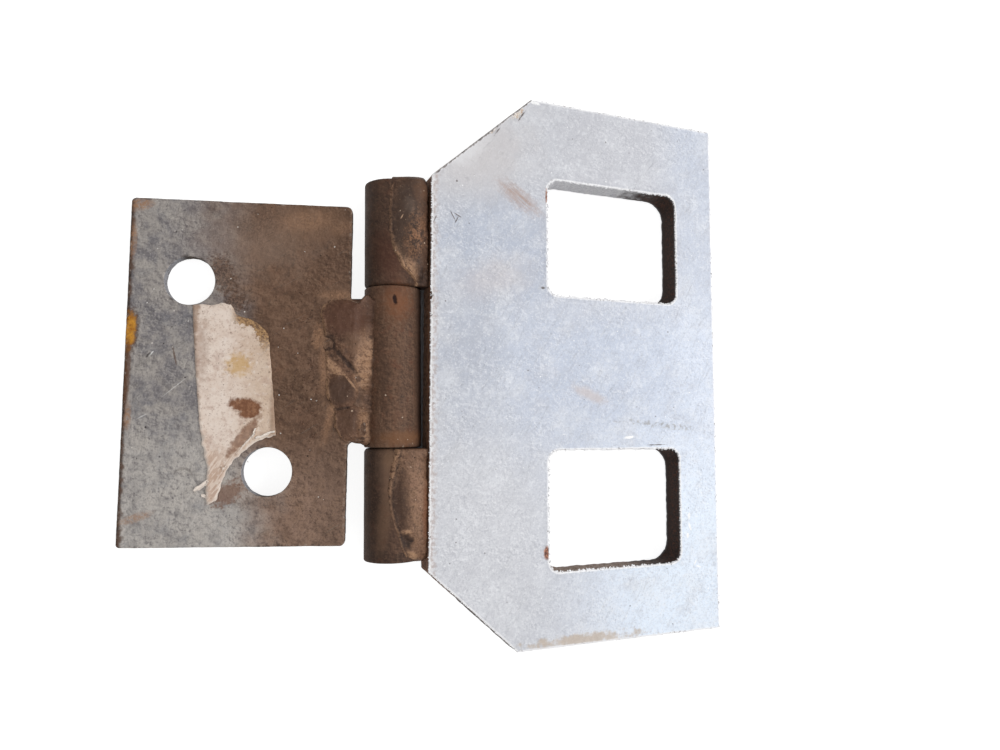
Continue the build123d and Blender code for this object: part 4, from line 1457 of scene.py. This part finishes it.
def front_weld(node, seam, end, toes, swells, ridge_dust):
    """Front bead between an outer knuckle and the plate's edge, from the seam to its outer end.

    toes holds the angle round the knuckle of the bead's ridge at places along the pin. Swells are
    (x, along, lift, half width, half length) on its surface.
    """
    name = node + "_bead"
    low, high = min(seam, end), max(seam, end)
    outward = 1.2 if end > seam else -0.3
    across, sunk, end_fall, greatest_rise = 60, 0.1, 1.9, 0.55
    toe_places, toe_angles = zip(*sorted(toes))
    sections, tints = [], []
    for share_along in rows_of(low, high, 0.3):
        along = low + (high - low) * share_along
        outer = dome_end(abs(along - end), 4.2)
        ending = outer * dome_end(abs(along - seam), 0.7)
        toe = np.interp(along, toe_places, toe_angles)
        toe += 1.6 * rough((along, 0, 0), 1.9, 3.0) + 0.9 * rough((along, 0, 0), 0.6, 4.0)
        seat = 5.7 + 0.5 * rough((along, 0, 0), 2.6, 5.0) + 0.3 * rough((along, 0, 0), 0.9, 6.0)
        seat_angle, seat_radius = degrees(atan2(seat, in_plate)), hypot(in_plate, seat)
        width = 0.15 * ridge_dust(along) - 0.04
        crest = 0.985 - width
        section, row_tints = [], []
        for index in range(across):
            share = index / (across - 1)
            angle = seat_angle + (toe - seat_angle) * share
            radius = seat_radius + (bar_radius - sunk - seat_radius) * ease(share, -0.1, 1.0)
            radius -= end_fall * (1 - outer)
            x, z = polar(radius, angle)
            height = 0.3 + 0.22 * hump(share - 0.35, 0.3) + 0.22 * hump(share - crest, width)
            for swell_x, swell_along, lift, half_width, half_length in swells:
                reach = hypot((x - swell_x) / half_width, (along - swell_along) / half_length)
                height += lift * hump(reach, 0.7)
            lumps = 0.22 * rough((along, x, 0), 2.6, 5.0) + 0.13 * rough((along, x, 0), 1.2, 6.0)
            lumps += 0.06 * rough((along, x, z), 0.5, 7.0)
            edge = ease(share, 0.0, 0.05) * ease(1.0 - share, 0.0, 0.09)
            level = radius + (height * ending + lumps) * edge
            if 0.02 < share < 0.98:
                level = max(level, bar_radius + 0.05 - end_fall * (1 - outer))
            x, z = polar(level, angle)
            z -= 0.5 * max(0.0, z - bar_radius - greatest_rise)
            shoulder = outward * (1 - share) ** 2 * ease(abs(along - seam) / abs(end - seam), 0.75, 1.0)
            section.append((x, along + shoulder, z))
            fading = ridge_dust(along) * ease(outer, 0.75, 1.0)
            broken = 0.8 + 0.5 * rough((along, share * 5, 0), 1.4, 15.0)
            dust = hump(share - crest, 1.3 * width) * fading * broken
            # Soot and painted shade in the groove beside the ridge.
            row_tints.append((dust, 0.7 * hump(share - crest + 0.075, 0.03)))
        hidden = [polar(bar_radius - 2.2, toe - 6), polar(bar_radius - 2.4, (toe + seat_angle) / 2)]
        hidden += [polar(bar_radius - 2.2, 8), (in_plate, 0.8)]
        section, row_tints = with_back(section, row_tints, hidden, along)
        sections.append(section)
        tints.append(row_tints)
    mesh = weld_mesh(name, sections, tints, plate_bar_place)
    add_piece(name, mesh, plate_weld_metal, "plate_side", "weld_bead", node)


front_weld("upper_front_weld", 22.0, 53.0, [
    (22.0, 50), (23.9, 58), (27.0, 86.7), (31.4, 103.7), (37.4, 112.7), (43.1, 112.7),
    (49.4, 108.5), (53.0, 104),
], [
    (2.0, 43.5, 0.25, 4.0, 4.0),
    (1.8, 36.0, -0.3, 4.2, 3.4),
    (1.0, 29.5, 0.25, 4.5, 3.0),
    (3.2, 25.0, 0.3, 3.0, 2.4),
    (7.3, 24.8, -0.7, 0.9, 2.6),
    (6.0, 49.0, 0.2, 2.6, 2.4),
], lambda along: 0.46 + 0.4 * ease(along, 40, 28))
front_weld("lower_front_weld", -23.8, -54.7, [
    (-23.8, 99), (-26.2, 103.5), (-28.1, 108.3), (-33.2, 114.1), (-37.2, 114.1), (-40.2, 110.2),
    (-43.2, 104.3), (-47.2, 94.7), (-51.6, 84.8), (-54.7, 72),
], [
    (-0.6, -38.5, -0.45, 3.2, 11.0),
    (5.0, -33.0, 0.25, 3.0, 4.0),
    (5.4, -42.0, 0.25, 2.6, 4.0),
    (2.6, -46.2, 0.4, 2.4, 0.9),
    (2.0, -48.9, -0.6, 2.6, 2.0),
    (3.4, -52.4, 0.4, 3.2, 1.8),
], lambda along: 0.5 + 0.45 * ease(along, -40, -27))


def leaf_weld():
    """Front bead of run-together puddles between the tab and the middle knuckle.

    Its two ends run up into the notches' corners beside the knuckle. The knuckle's line drifts by
    skew_drift a millimetre across the leaf's skewed drawing.
    """
    name = "leaf_front_weld_bead"
    low, high = -22.3, 17.5
    across, sunk, rise_start, skew_drift = 72, 0.1, -10.4, 0.0192
    toe_places, toe_reaches = zip(
        (low, 10.4), (-21.3, 13.2), (-18.1, 15.0), (-14.6, 15.4), (-9.5, 17.4), (-5.2, 17.8),
        (2.5, 18.2), (4.4, 19.2), (8.5, 18.6), (12.9, 19.9), (15.4, 19.4), (16.6, 17.8), (high, 12.5),
    )
    end_places, end_angles = zip(
        (low, 134), (-18.5, 137), (-12.0, 130), (-8.0, 130), (-4.0, 127), (3.0, 124), (9.0, 126),
        (13.0, 125), (high, 120),
    )
    puddles = [
        (12.4, 10.9, 1.25, 7.6, 6.5),
        (13.2, 1.0, 0.8, 5.4, 4.8),
        (13.5, -8.0, 1.1, 4.8, 4.9),
        (10.0, -16.9, 0.9, 6.0, 5.0),
        (7.4, 1.5, 0.75, 2.8, 9.0),
    ]
    sections, tints = [], []
    for share_along in rows_of(low, high, 0.32):
        along = low + (high - low) * share_along
        ending = dome_end(along - low, 1.6) * dome_end(high - along, 1.4)
        toe = np.interp(along, toe_places, toe_reaches)
        toe += 0.35 * rough((along, 0, 0), 2.2, 8.0) + 0.2 * rough((along, 0, 0), 0.8, 9.0)
        end_angle = np.interp(along, end_places, end_angles) + 6.5 * rough((along, 0, 0), 1.8, 10.0)
        end_x, end_z = polar(bar_radius - sunk, end_angle)
        end_x -= skew_drift * along
        section, row_tints = [], []
        for index in range(across):
            share = index / (across - 1)
            x = -toe + (end_x + toe) * share
            rise = max(0.0, (x - rise_start) / (end_x - rise_start))
            base = leaf_top - sunk + (end_z - leaf_top + sunk) * rise * rise * (3 - 2 * rise)
            base -= end_x / end_z * (end_x - rise_start) * rise * rise * (rise - 1)
            pile = 0.0
            for reach, centre, lift, half_width, half_length in puddles:
                distance = hypot((along - centre) / half_length, (x + reach) / half_width)
                pile += (lift * max(0.0, 1 - distance ** 2) ** 0.6) ** 4
            height = 0.22 + pile ** 0.25
            height -= 0.5 * hump(hypot((x + 17.0) / 2.0, (along - 5.0) / 2.6), 0.8)
            height -= 0.3 * hump(x + 12.8 + (along - 0.4) * 0.95, 1.0) * hump(along - 0.4, 5.0)
            height += 0.14 * hump(share - 0.05, 0.035)
            height += 0.22 * rough((x, along, 0), 2.8, 12.0)
            lumps = 0.2 * rough((x, along, 0), 1.4, 13.0) + 0.1 * rough((x, along, 0), 0.6, 14.0)
            edge = ease(share, 0.0, 0.06) * ease(1.0 - share, 0.0, 0.45)
            dip = 0.8 * hump(x + 9.9, 1.8)
            corner = (1.5 * hump(x + 7.4, 1.4) - dip) * ease(along, high - 3.0, high)
            corner -= (0.7 * hump(x + 6.9, 1.2) - 0.4 * dip) * ease(-along, -low - 3.0, -low)
            level = base + (height * ending + lumps) * edge - 0.5 * (1 - ending)
            section.append((x, along + corner, level))
            broken = 0.75 + 0.7 * rough((x, along, 0), 1.6, 16.0)
            # Soot and painted shade in the crease where the bead runs into the knuckle.
            soot_and_shade = 0.8 * max(0.0, broken - 0.5) * hump(share - 0.96, 0.05)
            row_tints.append((broken * hump(share - 0.02, 0.05), soot_and_shade))
        hidden = [polar(bar_radius - 1.4, end_angle + 7), (-6.9, leaf_back + 0.5)]
        hidden += [(-9.5, leaf_top - 1.6), (-toe + 1.0, leaf_top - 1.0)]
        section, row_tints = with_back(section, row_tints, hidden, along)
        sections.append(section)
        tints.append(row_tints)
    mesh = weld_mesh(name, sections, tints, leaf_place)
    add_piece(name, mesh, leaf_weld_metal, "leaf_side", "weld_bead", "leaf_front_weld")


leaf_weld()


def back_weld(node, side, start, stop, root, way, level, leg, hidden):
    """Fillet bead on the back. Its toe runs along the flat steel and its foot round the knuckle.

    side holds the body that it rides on, its place and its metal. way is 1 where the flat steel
    lies on the pin's plate side and -1 on the leaf's, and level is how high that steel's back lies.
    """
    body, place, metal = side
    name = node + "_bead"
    surface_count, sections, tints = 26, [], []
    for share_along in rows_of(start, stop, 0.32):
        along = start + (stop - start) * share_along
        ends = ease(share_along, 0.0, 0.07) * ease(1 - share_along, 0.0, 0.07)
        scallop = 0.5 + 0.5 * cos(2 * pi * along / 2.3)
        uneven = 1 + 0.05 * scallop + 0.09 * rough((along, 0, 0), 2.5, 21.0)
        reach = leg * (0.45 + 0.55 * ends) * uneven
        toe = (root + way * reach, level + 0.1)
        drop = level - reach * 0.95
        foot = (way * sqrt(max(bar_radius ** 2 - drop ** 2, 0.0)) - way * 0.12, drop)
        section, row_tints = [], []
        for index in range(surface_count):
            share = index / (surface_count - 1)
            x = toe[0] + (foot[0] - toe[0]) * share
            z = toe[1] + (foot[1] - toe[1]) * share
            swell = (0.55 * sin(pi * share) + 0.1 * scallop * sin(pi * share)) * (0.4 + 0.6 * ends)
            swell += 0.06 * rough((along, share * 4, 0), 0.9, 22.0) * sin(pi * share)
            section.append((x + way * swell * 0.7, along, z - swell * 0.7))
            row_tints.append((0.5 * hump(share - 0.5, 0.3), 0.3 * scallop))
        section, row_tints = with_back(section, row_tints, hidden, along)
        sections.append(section)
        tints.append(row_tints)
    mesh = weld_mesh(name, sections, tints, place)
    add_piece(name, mesh, metal, body, "weld_bead", node)


plate_welds = ("plate_side", plate_bar_place, plate_weld_metal)
leaf_welds = ("leaf_side", leaf_bar_place, leaf_weld_metal)
plate_back = plate_top - plate_thickness
leaf_root = tab_edge + 0.3
plate_leg, leaf_leg = 3.4, 2.8
plate_hidden = [polar(bar_radius - 1.6, -8), (in_plate, 0.35)]
leaf_hidden = [polar(bar_radius - 1.6, 143), (-7.2, leaf_back + 0.4)]
for node, start, stop in (("upper_back_weld", 24.3, 49.4), ("lower_back_weld", -26.1, -52.0)):
    back_weld(node, plate_welds, start, stop, plate_edge, 1, plate_back, plate_leg, plate_hidden)
back_weld("leaf_back_weld", leaf_welds, -19.4, 14.2, leaf_root, -1, leaf_back, leaf_leg, leaf_hidden)


# Label


def add_shred(vertices, faces, marks, x, y, length, width, angle, curl, lift):
    """Adds a thin, curled shred of torn paper to a mesh."""
    first, steps, across, thickness = len(vertices), 14, 4, 0.07
    turn = radians(angle)
    for level in (0, 1):
        for step in range(steps + 1):
            share = step / steps - 0.5
            narrow = width * (1 - 1.6 * share * share) * (1 + 0.4 * rough((x, share * 6, 0), 1.0, 91.0))
            for column in range(across + 1):
                aside = (column / across - 0.5) * narrow
                along = share * length
                bend = 0.35 * rough((share * 5, y, 0), 1.0, 92.0)
                px = x + along * cos(turn) - (aside + bend) * sin(turn)
                py = y + along * sin(turn) + (aside + bend) * cos(turn)
                rise = lift + curl * (2 * aside / width) ** 2 * 0.5
                rise += 0.3 * lift * rough((share * 8, x, 0), 1.0, 93.0)
                vertices.append((px, py, leaf_top + rise - (thickness if level == 0 else 0.0)))
                marks.append((1.0, 0.0))
    count = (steps + 1) * (across + 1)
    rim = []
    for step in range(steps):
        for column in range(across):
            corner = first + step * (across + 1) + column
            square = (corner, corner + across + 1, corner + across + 2, corner + 1)
            faces.append(square)
            faces.append(tuple(index + count for index in reversed(square)))
    rim += [first + column for column in range(across + 1)]
    rim += [first + step * (across + 1) + across for step in range(1, steps + 1)]
    rim += [first + steps * (across + 1) + column for column in range(across - 1, -1, -1)]
    rim += [first + step * (across + 1) for step in range(steps - 1, 0, -1)]
    for index, corner in enumerate(rim):
        following = rim[(index + 1) % len(rim)]
        faces.append((corner, following, following + count, corner + count))


def make_label():
    """Blank remnant of a torn paper label, crinkled, with curled torn edges."""
    name = "label_remnant_torn"
    thickness, point_spacing, corner_round, outline_step = 0.09, 0.75, 0.25, 0.4
    torn_outline = [
        (-53.1, 14.4), (-52.4, 5.5), (-51.6, -3.5), (-50.2, -17.1), (-49.0, -23.4), (-47.6, -29.5),
        (-47.9, -33.6), (-47.6, -37.2), (-47.2, -38.6), (-45.1, -37.6), (-44.4, -34.8), (-43.6, -32.2),
        (-42.8, -29.5), (-41.0, -27.1), (-39.1, -25.0), (-35.3, -22.0), (-32.8, -20.8), (-30.4, -20.4),
        (-31.2, -10.8), (-31.9, -4.5), (-32.8, 4.1), (-33.3, 7.3), (-35.0, 8.9), (-36.4, 10.3),
        (-38.9, 11.1), (-41.7, 12.0), (-43.1, 14.7), (-45.6, 15.2), (-48.1, 14.4), (-50.5, 14.7),
    ]
    outline = rounded_outline([(x, y, corner_round) for x, y in torn_outline], outline_step)
    edge = []
    for x, y in outline:
        torn = 0.4 if y < -19 or (x > -45 and y > 5) else 0.12
        push_x = rough((x, y, 0), 1.5, 71.0) + 0.35 * rough((x, y, 0), 0.7, 72.0)
        push_y = rough((x, y, 0), 1.5, 76.0) + 0.35 * rough((x, y, 0), 0.7, 77.0)
        edge.append((x + torn * push_x, y + torn * push_y))
    edge = np.array(edge)
    inner = face_points([edge], point_spacing, [])
    triangles = fill([edge], inner)
    points = np.concatenate([edge, inner])
    gaps = np.array([np.linalg.norm(edge - point, axis=1).min() for point in points])
    vertices = []
    for level in (0, 1):
        for (x, y), gap in zip(points, gaps):
            torn = ease(-y, 17.0, 25.0)
            crinkle = 0.05 + 0.1 * torn
            rise = crinkle * (1 + rough((x, y, 0), 3.0, 73.0))
            rise += crinkle * 0.6 * (1 + rough((x, y, 0), 1.1, 74.0))
            curl = (0.1 + 0.5 * torn * max(0.0, rough((x, y, 0), 4.0, 75.0))) * ease(gap, 1.6, 0.0)
            height = 0.04 + rise + curl
            vertices.append((x, y, leaf_top + height - (thickness if level == 0 else 0.0)))
    count = len(points)
    faces = [tuple(corner + count for corner in corners) for corners in triangles]
    faces += [tuple(reversed(corners)) for corners in triangles]
    rim = len(edge)
    for index in range(rim):
        following = (index + 1) % rim
        faces.append((index, following, following + count, index + count))
    fresh = [0.8 * ease(-y, 19.5, 21.0) * ease(gap, 0.55, 0.1) for (_, y), gap in zip(points, gaps)]
    marks = [(pale, ease(gap, 3.4, 0.0)) for pale, gap in zip(fresh, gaps)] * 2
    for shred in (
        (-33.2, -20.1, 5.4, 0.7, 22, 0.5, 0.35),
        (-38.2, -22.6, 7.4, 0.4, 53, 0.3, 0.3),
        (-36.0, -19.6, 2.6, 0.5, 75, 0.6, 0.4),
        (-49.0, -33.7, 4.6, 1.2, 38, 1.3, 0.35),
        (-47.9, -36.3, 2.2, 0.9, -20, 0.7, 0.3),
        (-46.3, -37.6, 1.9, 0.7, 35, 0.6, 0.3),
        (-43.1, -28.8, 2.2, 0.6, 55, 0.5, 0.3),
    ):
        add_shred(vertices, faces, marks, *shred)
    mesh = new_mesh(name, vertices, faces, leaf_place, marks, ("fresh", "edge"))
    add_piece(name, mesh, torn_label, "leaf_side", "label_paper", "label_remnant")


make_label()


# Burrs and weld spatter


def crumb_tree():
    """Scatters small uneven lumps over a share of the points of a base mesh."""
    group, add = node_tree("scattered_crumbs", [
        ("Share", "NodeSocketFloat"),
        ("Least Size", "NodeSocketVector"),
        ("Greatest Size", "NodeSocketVector"),
        ("Jitter", "NodeSocketVector"),
        ("Seed", "NodeSocketInt"),
        ("Finish", "NodeSocketMaterial"),
    ])

    def drawn(least, greatest):
        feeds = [(0, least), (1, greatest), ("Seed", "Seed")]
        return add("FunctionNodeRandomValue", feeds, data_type="FLOAT_VECTOR").outputs[0]

    chance = [("Probability", "Share"), ("Seed", "Seed")]
    chosen = add("FunctionNodeRandomValue", chance, data_type="BOOLEAN")
    spots = add("GeometryNodeMeshToPoints", [("Mesh", "Geometry"), ("Selection", chosen.outputs[3])])
    back = add("ShaderNodeVectorMath", [(0, "Jitter"), (3, -1.0)], operation="SCALE")
    shift = drawn(back.outputs[0], "Jitter")
    moved = add("GeometryNodeSetPosition", [("Geometry", spots.outputs[0]), ("Offset", shift)])
    lump = add("GeometryNodeMeshIcoSphere", [("Radius", 1.0), ("Subdivisions", 2)])
    laid = add("GeometryNodeInstanceOnPoints", [
        ("Points", moved.outputs[0]),
        ("Instance", lump.outputs[0]),
        ("Rotation", drawn((0.0, 0.0, 0.0), (0.5, 0.5, 2 * pi))),
        ("Scale", drawn("Least Size", "Greatest Size")),
    ])
    close_tree(add, laid.outputs[0])
    return group


scattered_crumbs = crumb_tree()


def make_crumbs(name, points, share, least, greatest, jitter, seed, finish, side, slot):
    """Small lumps scattered on these points of a side's drawing, half sunk in the steel.

    side holds the body that they ride on and its place.
    """
    body, place = side
    base = bpy.data.meshes.new(name + "_base")
    base.from_pydata([Vector(point) for point in points], [], [])
    mesh = grown(name, base, scattered_crumbs, {
        "Share": share,
        "Least Size": least,
        "Greatest Size": greatest,
        "Jitter": jitter,
        "Seed": seed,
        "Finish": finish,
    })
    mesh.transform(place)
    mesh.shade_smooth()
    mesh.name = name
    add_piece(name, mesh, finish, body, slot)


def burr_finish():
    """Bright torn zinc on the plate's rims, with dark dirt in it."""
    f = Finish("torn_zinc", plate_place)
    zinc = f.mottled(1.2, -0.26, -0.12, tone(120, 100, 90), tone(248, 248, 250))
    return f.finish(zinc, 0.5, 0.1, f.wobble(0.5), 0.5, 0.05)


def speck_finish():
    """Pale bare metal of chipped specks."""
    f = Finish("bare_specks", leaf_place)
    bare = f.mottled(0.5, -0.1, 0.1, tone(200, 192, 184), tone(244, 242, 240))
    return f.finish(bare, 0.5, 0.2)


def make_all_crumbs():
    """Burrs on the plate's rims, bright specks on the leaf and spatter beside its weld."""
    plate_ride, leaf_ride = ("plate_side", plate_place), ("leaf_side", leaf_place)
    torn_zinc = burr_finish()
    rims = []
    for outline in [window_outline(centre, 0.34) for centre in window_centres]:
        inset = outline - 0.1 * outward_ways(outline)
        rims += [(x, y, plate_top) for x, y in inset]
    make_crumbs("window_burrs", rims, 0.6, (0.12, 0.1, 0.05), (0.6, 0.32, 0.3), (0.22, 0.22, 0.05), 4,
                torn_zinc, plate_ride, "plated_steel")
    edge = rounded_outline(plate_corners, 0.4)
    inset = edge - 0.15 * outward_ways(edge)
    edge = [(x, y, plate_top - 0.05) for x, y in inset if y - 0.885 * x < 45.6]
    make_crumbs("edge_burrs", edge, 0.35, (0.1, 0.08, 0.05), (0.44, 0.24, 0.24), (0.16, 0.16, 0.05), 5,
                torn_zinc, plate_ride, "plated_steel")
    listed = [
        (-56.7, 34.7), (-58.5, 34.3), (-62.6, 29.5), (-63.2, 18.4), (-64.8, 14.6), (-59.5, 15.5),
        (-54.2, 10.0), (-29.9, -9.4), (-21.5, -10.4), (-20.1, -10.9), (-24.2, 30.0), (-37.4, -27.4),
    ]
    specks = [(x, y, leaf_top) for x, y in listed]
    make_crumbs("bare_specks", specks, 1.0, (0.12, 0.12, 0.06), (0.26, 0.22, 0.12), (0.1, 0.1, 0.0), 6,
                speck_finish(), leaf_ride, "leaf_steel")
    draw = random.Random(31)
    spatter = [(-16.9, 18.2), (-14.3, 19.4), (-21.4, 7.6), (-20.1, 7.7), (-18.6, 0.6)]
    spatter += [(-23.7, -6.1), (-31.3, -5.9)]
    for _ in range(150):
        away = abs(draw.gauss(0.0, 4.2))
        along = draw.uniform(-22.0, 20.0)
        spatter.append((-18.8 - 0.2 * abs(along + 2) * 0.3 - away, along))
    drops = [(x, y, leaf_top) for x, y in spatter]
    make_crumbs("leaf_spatter", drops, 0.85, (0.08, 0.08, 0.06), (0.34, 0.3, 0.22), (0.2, 0.2, 0.0), 7,
                leaf_weld_metal, leaf_ride, "weld_bead")


make_all_crumbs()


# Floor, light and camera


def make_floor():
    """White floor that shows as white and keeps the hinge's soft shadow.

    Its glow leaves out the strip in the deep shadow under the gap beside the middle knuckle.
    """
    half, level, middle_square = 3.0, -0.0003, 4
    strip_left, strip_right, strip_low, strip_high = -0.0112, -0.004, -0.0262, 0.0275
    mesh = bpy.data.meshes.new("floor")
    xs, ys = (-half, strip_left, strip_right, half), (-half, strip_low, strip_high, half)
    corners = [(x, y, level) for y in ys for x in xs]
    starts = [4 * row + column for row in range(3) for column in range(3)]
    mesh.from_pydata(corners, [], [(start, start + 1, start + 5, start + 4) for start in starts])
    floor = bpy.data.objects.new("floor", mesh)
    bpy.context.scene.collection.objects.link(floor)
    mesh.materials.append(floor_paint("floor_white", 0.86))
    mesh.materials.append(floor_paint("floor_in_shadow", 0.0))
    mesh.polygons[middle_square].material_index = 1


def floor_paint(name, glow_strength):
    """Matt white, with a glow that only the camera and mirrorings see."""
    paint = bpy.data.materials.new(name)
    paint.use_nodes = True
    tree = paint.node_tree
    tree.nodes.clear()
    output = tree.nodes.new("ShaderNodeOutputMaterial")
    matt = tree.nodes.new("ShaderNodeBsdfDiffuse")
    matt.inputs["Color"].default_value = (0.42, 0.42, 0.42, 1.0)
    glow = tree.nodes.new("ShaderNodeEmission")
    path = tree.nodes.new("ShaderNodeLightPath")
    seen = tree.nodes.new("ShaderNodeMath")
    seen.operation = "MAXIMUM"
    tree.links.new(path.outputs["Is Camera Ray"], seen.inputs[0])
    tree.links.new(path.outputs["Is Glossy Ray"], seen.inputs[1])
    lift = tree.nodes.new("ShaderNodeMath")
    lift.operation = "MULTIPLY"
    lift.inputs[1].default_value = glow_strength
    tree.links.new(seen.outputs[0], lift.inputs[0])
    tree.links.new(lift.outputs[0], glow.inputs["Strength"])
    both = tree.nodes.new("ShaderNodeAddShader")
    tree.links.new(matt.outputs[0], both.inputs[0])
    tree.links.new(glow.outputs[0], both.inputs[1])
    tree.links.new(both.outputs[0], output.inputs["Surface"])
    return paint


make_floor()


def make_world():
    """Plain studio surround, white to the camera and softer as light."""
    world = bpy.data.worlds.new("studio")
    bpy.context.scene.world = world
    world.use_nodes = True
    tree = world.node_tree
    tree.nodes.clear()
    output = tree.nodes.new("ShaderNodeOutputWorld")
    seen = tree.nodes.new("ShaderNodeBackground")
    seen.inputs["Color"].default_value = (1.0, 1.0, 1.0, 1.0)
    soft = tree.nodes.new("ShaderNodeBackground")
    soft.inputs["Color"].default_value = (1.0, 1.0, 1.0, 1.0)
    soft.inputs["Strength"].default_value = 0.42
    path = tree.nodes.new("ShaderNodeLightPath")
    mix = tree.nodes.new("ShaderNodeMixShader")
    tree.links.new(path.outputs["Is Camera Ray"], mix.inputs[0])
    tree.links.new(soft.outputs[0], mix.inputs[1])
    tree.links.new(seen.outputs[0], mix.inputs[2])
    tree.links.new(mix.outputs[0], output.inputs["Surface"])


make_world()


def soft_lamp(name, spot, target, size, power):
    """Broad lamp at a spot, pointed at a target."""
    light = bpy.data.lights.new(name, "AREA")
    light.shape = "SQUARE"
    light.size = size
    light.energy = power
    lamp = bpy.data.objects.new(name, light)
    lamp.location = spot
    lamp.rotation_euler = (Vector(target) - Vector(spot)).to_track_quat("-Z", "Y").to_euler()
    bpy.context.scene.collection.objects.link(lamp)


soft_lamp("window_light", (0.9, 0.15, 1.0), (0.02, 0.0, 0.0), 0.7, 9.5)
soft_lamp("overhead_light", (-0.15, -0.25, 0.9), (0.0, 0.0, 0.0), 0.8, 1.7)


def make_camera():
    """Camera close above the barrel, turned toward the window plate."""
    camera = bpy.data.cameras.new("camera")
    camera.lens = 25.888
    camera.sensor_width = 36.0
    camera.clip_start = 0.005
    eye = bpy.data.objects.new("camera", camera)
    eye.rotation_mode = "ZYX"
    eye.location = (-0.049927, -0.017116, 0.213014)
    eye.rotation_euler = (radians(4.30363), radians(-17.31545), radians(0.70388))
    bpy.context.scene.collection.objects.link(eye)
    bpy.context.scene.camera = eye


make_camera()
bpy.context.scene.view_settings.view_transform = "Standard"
